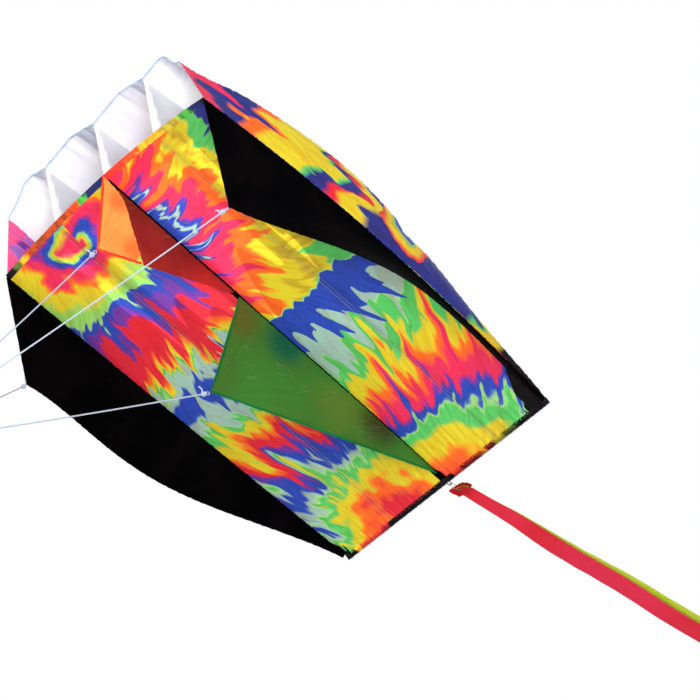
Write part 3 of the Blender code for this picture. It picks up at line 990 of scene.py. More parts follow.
def tube_piece(name: str, path: Array, radius: float, sides: int = 10, closed: bool = False) -> Piece:
    """A round cord as a mesh, with UVs in metres round it and along it.

    Args:
        name: The piece's name.
        path: The points its middle follows.
        radius: Its radius.
        sides: How many faces go round it.
        closed: Whether its ends meet.

    Returns:
        The piece, with rounded ends unless it is closed.
    """
    points = np.vstack([path, path[:1]]) if closed else np.array(path, float)
    radii = np.full(len(points), radius)
    tangent = np.gradient(points, axis=0)
    if closed:
        tangent[0] = tangent[-1] = points[1] - points[-2]
    tangent /= np.linalg.norm(tangent, axis=1, keepdims=True)
    side = np.cross(tangent[0], (0.0, 0.0, 1.0) if abs(tangent[0][2]) < 0.9 else (0.0, 1.0, 0.0))
    sides_at = [side / np.linalg.norm(side)]
    for step in tangent[1:]:
        moved = sides_at[-1] - step * np.dot(sides_at[-1], step)
        sides_at.append(moved / np.linalg.norm(moved))
    first = np.array(sides_at)
    second = np.cross(tangent, first)
    if closed:
        twist = math.atan2(np.dot(first[-1], second[0]), np.dot(first[-1], first[0]))
        turn = -twist * np.linspace(0, 1, len(points))[:, None]
        turned = first * np.cos(turn) + second * np.sin(turn)
        first, second = turned, second * np.cos(turn) - first * np.sin(turn)
    else:
        # Each end is rounded by three more rings, each narrower than the last
        shares = np.array((0.05, 0.55, 0.86))
        out = np.sqrt(1 - shares * shares)[:, None]
        before = points[0] - tangent[0] * radius * 0.8 * out
        after = points[-1] + tangent[-1] * radius * 0.8 * out
        points = np.vstack([before, points, after[::-1]])
        first = np.vstack([np.tile(first[0], (3, 1)), first, np.tile(first[-1], (3, 1))])
        second = np.vstack([np.tile(second[0], (3, 1)), second, np.tile(second[-1], (3, 1))])
        radii = np.concatenate([radius * shares, radii, radius * shares[::-1]])
    angle = np.linspace(0, 2 * math.pi, sides + 1)[None, :, None]
    ring = first[:, None] * np.cos(angle) + second[:, None] * np.sin(angle)
    obj = grid_piece(name, points[:, None] + radii[:, None, None] * ring)
    scale_uv(obj, (2 * math.pi * radius, path_length(points)))
    return finish_mesh(close_ends(obj), 70)


def joined(name: str, parts: Sequence[Piece]) -> Piece:
    """Joins several pieces into one.

    Args:
        name: The new piece's name.
        parts: The pieces.

    Returns:
        The new piece.
    """
    bpy.ops.object.select_all(action="DESELECT")
    for part in parts:
        part.select_set(True)
    bpy.context.view_layer.objects.active = parts[0]
    bpy.ops.object.join()
    obj = bpy.context.object
    obj.name = name
    obj.data.name = name
    return obj


# ---- the kite's shape ----


@dataclass(frozen=True)
class Wing:
    """The canopy's surfaces, as places on the kite. u runs from -1 at the left side to 1 at the right."""

    chord: float = 0.760
    leading_span: float = 0.610
    trailing_span: float = 0.580
    side_bow: float = 0.0125
    leading_bow: float = 0.011
    arc_rise: float = 0.023
    camber_rise: float = 0.011
    bottom_billow: float = 0.004
    back: float = 0.068
    up: float = 0.761
    rib_top: tuple[tuple[float, float], ...] = (
        (-0.072, 0.101), (0.000, 0.108), (0.120, 0.118), (0.250, 0.115),
        (0.400, 0.093), (0.550, 0.0595), (0.670, 0.0235), (0.7486, 0.0040),
    )
    end_ahead: float = 0.0575
    end_drop: float = 0.033
    end_lean: float = 0.020
    lip_lean: float = 0.038
    top_billow: float = 0.017
    lip_billow: float = 0.012
    lip_forward: float = 0.007
    side_billow: float = 0.007
    roll: float = 0.0014
    pucker: Ruffle = Ruffle(0.0007, 0.013, 2.0)  # beside the bottom skin's seams
    gather: Ruffle = Ruffle(0.0017, 0.017, 0.6)  # ahead of its trailing edge
    front: Ruffle = Ruffle(0.0009, 0.026, 3.1)  # behind its leading edge
    slack: Ruffle = Ruffle(0.0012, 0.085, 5.0)  # all over it
    top_pucker: Ruffle = Ruffle(0.0012, 0.016, 1.0)
    top_gather: Ruffle = Ruffle(0.0012, 0.019, 4.2)
    flutter: Ruffle = Ruffle(0.0014, 0.034, 7.7)  # behind the lip
    rib_crease: Ruffle = Ruffle(0.0011, 0.030, 2.2)
    step_back: float = 0.402  # where the right side of the top dips
    step_drop: float = 0.0085
    cells: int = 4

    def half_span(self, t: Array) -> Array:
        """Half the width of the bottom skin at share t of the chord."""
        return blend(self.leading_span, self.trailing_span, t) / 2 + self.side_bow * 4 * t * (1 - t)

    def bulge(self, u: Array) -> Array:
        """0 at a rib and 1 half way between two."""
        across = (u + 1) / 2 * self.cells % 1.0
        return 1 - (2 * across - 1) ** 2

    def ridge(self, u: Array) -> Array:
        """0 at a rib and 1 at the crease where a cell's lip stands highest, a little right of its middle."""
        across = (u + 1) / 2 * self.cells % 1.0
        return np.clip(np.minimum(across / 0.54, (1 - across) / 0.46), 0, 1) ** 0.85

    def from_seam(self, u: Array, half: Array) -> Array:
        """Distance in metres to the nearest rib, the sides among them, where the skin is 2 half wide."""
        cell, near = 2 / self.cells, (u + 1) % (2 / self.cells)
        return np.minimum(near, cell - near) * half

    def bottom(self, u: Array, t: Array, low: float = 0.0) -> Array:
        """The bottom skin with its puckers, at share t of the chord and low metres under its inner face.

        Args:
            u: Place across the span.
            t: Share of the chord.
            low: How far below the skin's inner face the point lies.

        Returns:
            Points on the kite.
        """
        u, t = np.broadcast_arrays(np.asarray(u, float), np.asarray(t, float))
        half = self.half_span(t)
        crown = (1 - u * u) * (1 - t) ** 3
        billow = self.bottom_billow * self.bulge(u) * np.sin(math.pi * np.clip(t, 0, 1))
        x, y = u * half, self.chord * t
        seam = self.from_seam(u, half)
        pucker = self.pucker.at(y, np.round(u * 2)) * np.exp(-((seam / 0.013) ** 2))
        pull = 0.0011 * np.exp(-((seam / 0.006) ** 2))
        gather = self.gather.at(x) * ease(0.84, 0.99, t) * (1 - 0.5 * ease(0.985, 1.0, t))
        front = self.front.at(x) * (1 - ease(0.0, 0.09, t))
        slack = self.slack.at(x + 0.35 * y) * np.sin(math.pi * np.clip(t, 0, 1)) * ease(0.0, 0.03, seam)
        rise = pull + pucker + gather + front + slack
        return stack(
            x,
            self.back + y - self.leading_bow * crown,
            self.up + self.arc_rise * crown + self.camber_rise * 4 * t * (1 - t) - billow + rise - low,
        )

    def top(self, u: Array, s: Array, high: float = 0.0) -> Array:
        """The top skin with its puckers, at share s back from the lip and high metres over its inner face.

        Args:
            u: Place across the span.
            s: Share of the way back from the lip.
            high: How far above the skin's inner face the point lies.

        Returns:
            Points on the kite.
        """
        u, s = np.broadcast_arrays(np.asarray(u, float), np.asarray(s, float))
        front, rear = self.rib_top[0][0], self.rib_top[-1][0]
        y = blend(front, rear, s)
        end = ease(0.62, 1.0, np.abs(u))
        lip = np.clip(1 - s, 0, 1) ** 8
        bulge = blend(self.ridge(u), self.bulge(u), ease(0.0, 0.28, s))
        lean = end * blend(self.lip_lean, self.end_lean, ease(-0.060, 0.060, y)) * (1 - ease(0.75, 1.0, s))
        drop = self.end_drop * end * (1 - ease(-0.020, 0.345, y))
        ahead = lip * ((-self.end_ahead - front) * end - self.lip_forward * bulge)
        billow = bulge * (self.top_billow * np.sin(math.pi * np.clip(s, 0, 1) ** 0.7) + self.lip_billow * lip)
        places, heights = smooth_profile(self.rib_top)
        height = np.interp(y, places, heights)
        half = self.half_span(np.clip(y / self.chord, 0, 1))
        seam = self.from_seam(u, half)
        pucker = self.top_pucker.at(y, np.round(u * 2)) * np.exp(-((seam / 0.016) ** 2)) * ease(0.0, 0.05, s)
        gather = self.top_gather.at(u * half) * ease(0.82, 0.97, s) * (1 - ease(0.975, 1.0, s))
        flutter = self.flutter.at(u * half) * (1 - ease(0.0, 0.10, s)) * ease(0.002, 0.02, seam)
        from_step = y - self.step_back
        tuck = np.where(from_step < 0, from_step / 0.012, from_step / 0.038)
        notch = -self.step_drop * np.exp(-(tuck**2)) * ease(0.62, 0.97, u)
        return stack(
            u * half - np.sign(u) * lean,
            self.back + y + ahead,
            self.up + height - drop + billow + pucker + gather + flutter + notch + high,
        )

    def rib(self, u: float, share: Array, rise: Array, billow: float = 0.0) -> Array:
        """A rib at u, at a share of its length back and a share of its height up.

        Args:
            u: Place across the span.
            share: Share of its length from the mouth back.
            rise: Share of its height.
            billow: How far the wind blows its middle sideways.

        Returns:
            Points on the kite.
        """
        foot = self.bottom(u, blend(0.004, 0.985, share))
        head = self.top(u, blend(0.004, 1.0, share))
        place = foot + (head - foot) * rise[..., None]
        crease = self.rib_crease.at(share * 0.75 + 0.10 * rise)
        crease = crease * np.sin(math.pi * rise) * ease(0.0, 0.1, share)
        blown = billow * np.sin(math.pi * share) + np.sign(u or 1) * crease * 0.8
        place[..., 0] += blown * 4 * rise * (1 - rise)
        return place


def grid_shares(columns: int, rows: int) -> tuple[Array, Array]:
    """Shares across and along for a grid, its rows closer together near the mouth and the back edge."""
    along = np.linspace(0, 1, rows + 1)
    return np.meshgrid(np.linspace(0, 1, columns + 1), along + 0.09 * np.sin(-2 * math.pi * along) / math.pi)


class Side(Enum):
    """The kite's two sides."""

    LEFT = -1
    RIGHT = 1

    @property
    def word(self) -> str:
        """The side's name in piece names."""
        return self.name.lower()


@dataclass(frozen=True)
class KeelShape:
    """A keel: chord shares of its seam's start, its apex and its seam's end, and its depth at the apex."""

    start: float
    apex: float
    end: float
    depth: float
    side: int = 0
    hem: float = 0.0045
    flare: float = 0.058
    skew: float = 0.88
    crease: Ruffle = Ruffle(0.0016, 0.032, 3.3)  # fanned out from its apex
    pucker: Ruffle = Ruffle(0.0007, 0.012, 1.2)  # along its seam

    def drop(self, t: Array) -> Array:
        """How deep it hangs at share t of the chord, in metres."""
        ahead, behind = (t - self.start) / (self.apex - self.start), (self.end - t) / (self.end - self.apex)
        return self.depth * np.clip(np.where(t < self.apex, ahead, behind), 0.0, None)

    def hem_drop(self, wing: Wing, t: Array) -> Array:
        """The hem's height at share t of the chord, measured straight down from its sloping edge."""
        run = np.where(t < self.apex, self.apex - self.start, self.end - self.apex) * wing.chord
        return np.minimum(self.hem * np.hypot(1.0, self.depth / run), 0.45 * self.drop(t))

    def point(self, wing: Wing, t: Array, down: Array) -> Array:
        """A point of the keel, down metres under its seam.

        Args:
            wing: The canopy's surfaces.
            t: Share of the chord.
            down: Distance under the skin.

        Returns:
            Points on the kite.
        """
        t, down = np.broadcast_arrays(np.asarray(t, float), np.asarray(down, float))
        seam = wing.bottom(self.side * 0.998 if self.side else 0.0, t, 0.0004)
        drop = np.maximum(self.drop(t), 1e-6)
        share = down / drop
        back = np.clip((t - self.apex) / (self.end - self.apex), 0, 1)
        blown = self.flare * np.sin(math.pi * back**self.skew) ** 2 if self.side else 0.0
        angle = np.arctan2((t - self.apex) * wing.chord, np.maximum(self.depth - down, 1e-4))
        crease = self.crease.at(angle * 0.16, self.side) * np.clip(share, 0, 1) * (1 - 0.6 * share)
        pucker = self.pucker.at(t * wing.chord, self.side) * np.exp(-((down / 0.010) ** 2))
        place = seam.copy()
        place[..., 0] += (self.side or 1) * (blown * np.clip(share, 0, 2) ** 1.5 + crease + pucker)
        place[..., 2] -= down
        return place


FRONT_KEEL = KeelShape(0.000, 0.075, 0.379, 0.138)
REAR_KEEL = KeelShape(0.386, 0.441, 0.976, 0.211)
LEFT_KEEL = KeelShape(0.000, 0.172, 1.030, 0.163, side=-1)
RIGHT_KEEL = KeelShape(0.000, 0.172, 1.030, 0.163, side=1)


# ---- sub-assemblies ----


CELL_NAMES = ("left_outer", "left_inner", "right_inner", "right_outer")
WHITE = srgb(246, 246, 250)
SHADE_WHITE = srgb(236, 236, 246)


@dataclass
class Canopy:
    """The cells: bottom and top skins, ribs between them and the hems round their openings."""

    wing: Wing
    leading_hem: float = 0.011
    lip_hem: float = 0.0030
    trailing_hem: float = 0.011
    left_reach: float = 1.02  # how much further out the trailing hem ends on the left
    # How far back each inner rib stays white at its foot, a fifth of that at its top; behind, it is drawn
    # grey as painted shade
    rib_white_front: float = 0.026
    # Streaks in the painted shade at the mouth
    shade_streaks: Ruffle = Ruffle(0.5, 0.011, 1.0)
    scallop: Ruffle = Ruffle(0.0009, 0.019, 8.1)  # along the trailing edge
    # How many faces lie across and along
    skin_grid: tuple[int, int] = (72, 190)
    top_grid: tuple[int, int] = (40, 150)
    rib_grid: tuple[int, int] = (16, 130)
    end_rib_grid: tuple[int, int] = (30, 190)
    tape_grid: tuple[int, int] = (16, 190)
    tape_left: float = 0.0060  # how far the tape reaches to the left of the seam
    tape_right: tuple[float, float] = (0.0052, 0.0036)  # and to the right, at its front and further back
    tape_thickness: float = 0.0003
    in_hem: float = 0.75  # how much of a hem's width the cloth in it stops short of the edge
    half_hem: float = 0.0006  # half the thickness of the mouth's hems
    inset: float = 0.0003  # from a skin's inner face to the middle of its cloth
    # The painted shade beside the three inner ribs: its width at the lip, and how far over and back it ends
    shade_shapes: tuple[tuple[float, float, float], ...] = (
        (0.042, 0.028, 0.024), (0.057, 0.058, 0.060), (0.040, 0.033, 0.036))
    finishes: dict[str, Material] = field(default_factory=dict)

    def build(self) -> None:
        """Builds every piece of the canopy."""
        self.mix_finishes()
        self.bottom_skins()
        self.seam_tape()
        self.top_skins()
        self.ribs()
        self.hems()

    def mix_finishes(self) -> None:
        """Makes the materials of the canopy's skins, ribs and lip."""
        self.finishes = {
            # White top skins, with lavender-grey painted shade at the mouth
            "white": Cloth("white_ripstop", WHITE, SHADE_WHITE, folded=srgb(176, 178, 200)).make(),
            # The inner ribs: white cloth drawn grey as painted shade, and white along their fronts
            "rib": Cloth("white_rib_ripstop", srgb(206, 207, 213), srgb(190, 191, 200), Way.RIB,
                         folded=WHITE).make(),
            "lip": Cloth("lip_binding", srgb(168, 196, 226), srgb(196, 214, 236)).make(),
            "left": LEFT_DYE.make(),
            "right": RIGHT_DYE.make(),
            "left_end": LEFT_END_DYE.make(),
            "right_end": RIGHT_END_DYE.make(),
        }

    def bottom_skins(self) -> None:
        """The two tie-dyed bottom panels, joined along the middle."""
        chord = self.wing.chord
        start, end = self.leading_hem * self.in_hem / chord, 1 - self.trailing_hem * self.in_hem / chord
        for side in Side:
            across, along = grid_shares(*self.skin_grid)
            low, high = sorted((0.0, float(side.value)))
            u = blend(low, high, across)
            points = self.wing.bottom(u, blend(start, end, along), 0.0004)
            skin = sheet_piece(f"{side.word}_bottom_skin", points)
            hand_over(skin, self.finishes[side.word], "canopy", "tie_dye_fabric", f"{side.word}_bottom_panel")

    def top_skins(self) -> None:
        """The four white top panels, each blown up between two ribs."""
        for index, name in enumerate(CELL_NAMES):
            across, along = grid_shares(*self.top_grid)
            u = blend(-1 + index / 2, -0.5 + index / 2, across)
            share = blend(0.004, 0.998, along)
            points = self.wing.top(u, share, self.inset)
            skin = sheet_piece(f"{name}_top_skin", points,
                               painted_shading=self.painted_lip_shade(index, u, share))
            hand_over(skin, self.finishes["white"], "canopy", "white_fabric", f"{name}_top_panel")

    def seam_tape(self) -> None:
        """The black tape sewn over the join of the two bottom panels, wider ahead of the rear keel."""
        across, along = grid_shares(*self.tape_grid)
        place = blend(self.leading_hem / self.wing.chord, 1 - self.trailing_hem / self.wing.chord, along)
        wide = blend(*self.tape_right, ease(0.36, 0.44, place))
        wide = wide + 0.007 * ease(0.950, 0.972, place)
        high = blend(0.0009, 0.0018, ease(0.930, 0.950, place))
        u = blend(-self.tape_left, wide, across) / self.wing.half_span(place)
        points = self.wing.bottom(u, place, high)
        tape = sheet_piece("centre_seam_tape", points, self.tape_thickness)
        hand_over(tape, BLACK_TAPE.make(), "canopy", "black_fabric")

    def painted_lip_shade(self, cell: int, u: Array, share: Array) -> Array:
        """How much painted shade a top skin has at its lip beside its right-hand rib, where its billow turns
        away from the light.

        Args:
            cell: The cell's number, from the left.
            u: Places across the span.
            share: Shares of the way back from the lip.

        Returns:
            The painted shade at each place, from 0 to 1.
        """
        beside = (-0.5 + cell / 2 - u) * self.wing.half_span(0.0)
        back = share * (self.wing.rib_top[-1][0] - self.wing.rib_top[0][0])
        angle = np.arctan2(back, np.maximum(beside, 1e-4))
        streaks = 0.5 + self.shade_streaks.at(angle * 0.06 + 0.1 * beside, cell)
        if cell == self.wing.cells - 1:
            reach = (1 - ease(0.075, 0.125, beside)) * (1 - ease(0.06, 0.14, back))
            return reach * (0.30 + 0.60 * streaks**2)
        wide, tip, deep = self.shade_shapes[cell]
        inner = ease(-0.001, 0.003, beside * deep / tip - back)
        outer = ease(-0.002, 0.003, wide + (tip - wide) * back / deep - beside)
        return inner * outer * (0.65 + 0.35 * streaks)

    def ribs(self) -> None:
        """Three white ribs inside, and the two tie-dyed end ribs."""
        for name, u in (("left", -0.5), ("centre", 0.0), ("right", 0.5)):
            across, along = grid_shares(*self.rib_grid)
            points = self.wing.rib(u, along, across)
            # Painted shade: each rib is drawn grey but for a white strip along its front, wider at its foot
            hem = blend(self.rib_white_front, 0.2 * self.rib_white_front, across) / self.wing.chord
            rib = sheet_piece(f"{name}_rib_cloth", points,
                              painted_shading=1 - ease(0.97, 1.15, along / hem))
            hand_over(rib, self.finishes["rib"], "canopy", "white_fabric", f"{name}_rib")
        for side in Side:
            across, along = grid_shares(*self.end_rib_grid)
            points = self.wing.rib(side.value, along, across, side.value * self.wing.side_billow)
            rib = sheet_piece(f"{side.word}_end_rib_cloth", points)
            finish = self.finishes[f"{side.word}_end"]
            hand_over(rib, finish, "canopy", "tie_dye_fabric", f"{side.word}_end_rib")

    def hems(self) -> None:
        """The hems of the mouth's lower and upper edges and of the trailing edge."""
        u = np.linspace(-1, 1, 241)
        wing = self.wing
        lower = fold_piece("leading_hem", wing.bottom(u, 0.0, self.inset),
                           wing.bottom(u, self.leading_hem / wing.chord, self.inset), self.half_hem)
        hand_over(lower, LEADING_HEM_DYE.make(), "canopy", "dark_hem_fabric", "leading_edge_hem")
        run = wing.rib_top[-1][0] - wing.rib_top[0][0]
        upper = fold_piece("lip_binding", wing.top(u, 0.0, self.inset),
                           wing.top(u, self.lip_hem / run, self.inset), self.half_hem)
        hand_over(upper, self.finishes["lip"], "canopy", "light_blue_fabric", "upper_lip_hem")
        rear = wing.bottom(u, 1.0)
        rear[:, 0] *= np.where(u < 0, self.left_reach, 1.0)
        edge = rear + stack(0.0, wing.roll - 0.0005 + self.scallop.at(rear[:, 0]), 0.0015)
        inner = wing.bottom(u, 1 - self.trailing_hem / wing.chord) + (0, 0, 0.0018)
        back = fold_piece("trailing_hem", edge, inner, 0.0029, 0.0012)
        hand_over(back, TRAILING_HEM_DYE.make(), "canopy", "dark_hem_fabric", "trailing_edge_hem")


@dataclass
class Keels:
    """The hanging keels: two cloths in front, one behind them and one along each side, all with hems."""

    wing: Wing
    split: tuple[tuple[float, float], ...] = ((0.0, 0.0), (0.062, 0.0090), (0.116, 0.0480), (0.176, 0.0922))
    cloth_end: float = 0.158
    hem_end: float = 0.171
    gore_start: float = 0.045
    shortest: float = 0.004
    furthest: float = 0.984
    in_hem: float = 0.6  # how much of a hem's height the cloth in it stops short of the edge
    seam_gap: float = 0.0006  # how far into the skin a keel reaches

    def build(self) -> None:
        """Builds every keel."""
        self.front()
        self.plain("rear", REAR_KEEL, GREEN_KEEL, GREEN_HEM, ("green_fabric", "dark_green_fabric"))
        self.plain("left", LEFT_KEEL, BLACK_KEEL, BLACK_HEM, ("black_fabric", "black_fabric"))
        self.plain("right", RIGHT_KEEL, BLACK_KEEL, BLACK_HEM, ("black_fabric", "black_fabric"))

    def reach(self, keel: KeelShape) -> tuple[float, float]:
        """The chord shares where a keel becomes deep enough to sew, at its front and at its back."""
        least = self.shortest / keel.depth
        return blend(keel.start, keel.apex, least), min(blend(keel.end, keel.apex, least), self.furthest)

    def cloth(self, name: str, keel: KeelShape, t: Array, top: Array, foot: Array, columns: int) -> Piece:
        """A keel's cloth.

        Args:
            name: The piece's name.
            keel: The keel's shape.
            t: The chord shares of its points.
            top: How far under the skin it starts at each.
            foot: How far under the skin it ends.
            columns: Faces from top to foot.

        Returns:
            The cloth.
        """
        across, _ = np.meshgrid(np.linspace(0, 1, columns + 1), t)
        points = keel.point(self.wing, t[:, None], blend(top[:, None], foot[:, None], across))
        return sheet_piece(name, points)

    def hem(self, name: str, keel: KeelShape, t: Array) -> Piece:
        """The folded hem along a keel's free edge, with points at the chord shares t."""
        drop = keel.drop(t)
        return fold_piece(name, keel.point(self.wing, t, drop),
                          keel.point(self.wing, t, drop - keel.hem_drop(self.wing, t)), 0.0007)

    def stations(self, first: float, turn: float, last: float, front: int, back: int) -> Array:
        """Chord shares from first to last by way of turn, this many up to it and from it on."""
        return np.concatenate([np.linspace(first, turn, front), np.linspace(turn, last, back)[1:]])

    def plain(self, name: str, keel: KeelShape, finish: Cloth, hem_finish: Cloth,
              slots: tuple[str, str]) -> None:
        """A keel of one cloth and its hem.

        Args:
            name: Its name.
            keel: Its shape.
            finish: Its cloth.
            hem_finish: Its hem's cloth.
            slots: The materials that the two stand for.
        """
        first, last = self.reach(keel)
        t = self.stations(first, keel.apex, last, 24, 120)
        drop = keel.drop(t)
        foot = drop - self.in_hem * keel.hem_drop(self.wing, t)
        cloth = self.cloth(f"{name}_keel_cloth", keel, t, 0 * t - self.seam_gap, foot, 40)
        hand_over(cloth, finish.make(), "canopy", slots[0], f"{name}_keel")
        hem = self.hem(f"{name}_keel_edge", keel, t)
        hand_over(hem, hem_finish.make(), "canopy", slots[1], f"{name}_keel_hem")

    def front(self) -> None:
        """The front keel: a bright cloth ahead of a curved seam, and behind it a dark red cloth that stands
        for the keel's cloth in the sail's shadow, as painted shadow.
        """
        keel, wing = FRONT_KEEL, self.wing
        places, drops = smooth_profile(self.split)
        split_end = self.split[-1][0]

        def seam(t: Array) -> Array:
            """The joining seam's drop."""
            return np.where(t < split_end, np.interp(t, places, drops), keel.drop(t))

        first, last = self.reach(keel)
        t = self.stations(first, keel.apex, self.cloth_end, 20, 40)
        drop = keel.drop(t)
        foot = np.maximum(drop - self.in_hem * keel.hem_drop(wing, t), seam(t) + 0.0005)
        bright = self.cloth("front_keel_cloth", keel, t, seam(t) - 0.0004, foot, 30)
        hand_over(bright, ORANGE_KEEL.make(), "canopy", "orange_fabric", "front_keel")
        t = self.stations(first, keel.apex, self.hem_end, 20, 40)
        hem = self.hem("front_keel_edge", keel, t)
        hand_over(hem, ORANGE_HEM.make(), "canopy", "bright_red_fabric", "front_keel_hem")
        # The dark red cloth behind the seam: painted shadow
        t = self.stations(self.gore_start, split_end, last, 50, 50)
        gore = self.cloth("front_keel_shadow_cloth", keel, t, 0 * t - self.seam_gap, seam(t), 30)
        hand_over(gore, SHADOWED_KEEL_CLOTH.make(), "canopy", "dark_red_fabric", "front_keel_gore")


def frame_along(start: Array, end: Array) -> Matrix:
    """The frame at start whose +Z points at end."""
    turn = Vector(end - start).to_track_quat("Z", "Y").to_matrix().to_4x4()
    return Matrix.Translation(Vector(start)) @ turn


def placed(frame_at: Matrix, points: Array) -> Array:
    """Moves points into a frame.

    Args:
        frame_at: The frame.
        points: A row of points, or rows of them.

    Returns:
        The moved points.
    """
    turn = np.array(frame_at)
    return (points.reshape(-1, 3) @ turn[:3, :3].T + turn[:3, 3]).reshape(points.shape)


@dataclass
class Bridle:
    """Four legs from the keels' apexes to one knot, with the loops that hold them and the tow ring."""

    wing: Wing
    gather: tuple[float, float, float] = (0.0, 0.0, 0.02225)
    gather_radius: float = 0.007
    line_radius: float = 0.0012
    leg_start: float = 0.0174
    leg_bow: float = 0.003
    leg_points: int = 26
    tie_turns: float = 3.2  # how often the wraps go round below a keel
    knot_turns: float = 3.6  # and at the gathering knot
    wrap_radius: float = 0.0012  # of the cord in a knot's wraps
    tie_loop_radius: float = 0.0008  # of the cord that goes through a keel
    loop_half_width: float = 0.0035
    ring_swing_up: float = 0.00725
    ring_radius: float = 0.010
    ring_wire: float = 0.00125

    def build(self) -> None:
        """Builds the legs, the loops, the knot and the ring."""
        finish = WHITE_LINE.make()
        legs = (("front", FRONT_KEEL), ("rear", REAR_KEEL), ("left", LEFT_KEEL), ("right", RIGHT_KEEL))
        for name, keel in legs:
            self.leg(name, keel, finish)
        self.knot(finish)
        self.ring()

    def apex(self, keel: KeelShape) -> Array:
        """The lowest point of a keel.

        Args:
            keel: Its shape.

        Returns:
            The point.
        """
        seam = np.array([
            keel.side * (1 - 0.0006 / self.wing.leading_span) * float(self.wing.half_span(keel.apex)),
            self.wing.back + self.wing.chord * keel.apex, self.wing.up,
        ])
        crown = (1 - keel.side**2) * (1 - keel.apex) ** 3
        seam[1] -= self.wing.leading_bow * crown
        seam[2] += self.wing.arc_rise * crown + self.wing.camber_rise * 4 * keel.apex * (1 - keel.apex)
        return seam - (0, 0, 0.001 + keel.depth)

    def leg(self, name: str, keel: KeelShape, finish: Material) -> None:
        """A leg of the bridle and the loop that ties it to its keel.

        Args:
            name: The leg's name.
            keel: The shape of the keel that it hangs from.
            finish: The line's material.
        """
        gather = np.array(self.gather)
        apex = self.apex(keel)
        frame_at = frame_along(apex, gather)
        length = float(np.linalg.norm(apex - gather))
        share = np.linspace(0, 1, self.leg_points)
        path = placed(frame_at, stack(0.0, 0.0, blend(self.leg_start, length - self.gather_radius, share)))
        path[:, 1] += self.leg_bow * 4 * share * (1 - share)
        leg = tube_piece(f"{name}_leg_line", path, self.line_radius)
        hand_over(leg, finish, "canopy", "white_line", f"{name}_bridle_leg")
        turns = np.linspace(0, self.tie_turns * 2 * math.pi, 64)
        swell = 0.0022 + 0.0010 * np.sin(np.linspace(0, math.pi, 64))
        wraps = stack(swell * np.cos(turns), swell * np.sin(turns), np.linspace(0.0088, 0.0165, 64))
        cut_end = ((0.0030, 0.0045, 0.0162), (0.0020, 0.0090, 0.0150), (0.0, 0.0140, 0.0165))
        tag = smooth_path([wraps[-1], *cut_end], 16)
        half_loop = ((0, 0.0009, 0.0110), (0, 0.0026, 0.0050), (0, 0.0016, 0.0012))
        loop = smooth_path([*half_loop, *((0, -y, z) for _, y, z in reversed(half_loop))], 40)
        parts = [
            tube_piece("wraps", placed(frame_at, np.vstack([wraps, tag[1:]])), self.wrap_radius),
            tube_piece("loop", placed(frame_at, loop), self.tie_loop_radius),
            tube_piece("core", placed(frame_at, stack(0.0, 0.0, np.linspace(0.0080, 0.0180, 6))), 0.0020),
        ]
        tie = joined(f"{name}_apex_tie", parts)
        hand_over(tie, finish, "canopy", "white_line", f"{name}_apex_loop")

    def knot(self, finish: Material) -> None:
        """The knot that gathers the legs and its loop for the ring.

        Args:
            finish: The line's material.
        """
        turns = np.linspace(0, self.knot_turns * 2 * math.pi, 90)
        middle = self.gather[2]
        swell = 0.0036 * np.sin(np.linspace(0.35, math.pi - 0.35, 90)) ** 0.6
        wraps = stack(swell * np.cos(turns), swell * np.sin(turns), middle + np.linspace(0.0052, -0.0052, 90))
        half = self.loop_half_width
        angles = np.linspace(math.pi, 2 * math.pi, 20)
        curve = stack(0.0, half * np.cos(angles), self.ring_swing_up + half + half * np.sin(angles))
        loop = np.vstack([[(0, -half * 0.6, middle - 0.003)], curve, [(0, half * 0.6, middle - 0.003)]])
        core = stack(0.0, 0.0, np.linspace(middle - 0.0048, middle + 0.0052, 8))
        parts = [tube_piece("wraps", wraps, self.wrap_radius), tube_piece("core", core, 0.0030),
                 tube_piece("loop", smooth_path(loop[::3], 40), self.line_radius)]
        tie = joined("gathering_knot", parts)
        hand_over(tie, finish, "canopy", "white_line", "bridle_knot")

    def ring(self) -> None:
        """The welded steel tow ring."""
        angles = np.linspace(0, 2 * math.pi, 72, endpoint=False)
        path = stack(self.ring_radius * np.cos(angles), 0.0, self.ring_radius * np.sin(angles))
        ring = tube_piece("steel_tow_ring", path, self.ring_wire, 12, closed=True)
        hand_over(ring, STEEL.make(), "tow_ring", "steel_wire", "tow_ring")


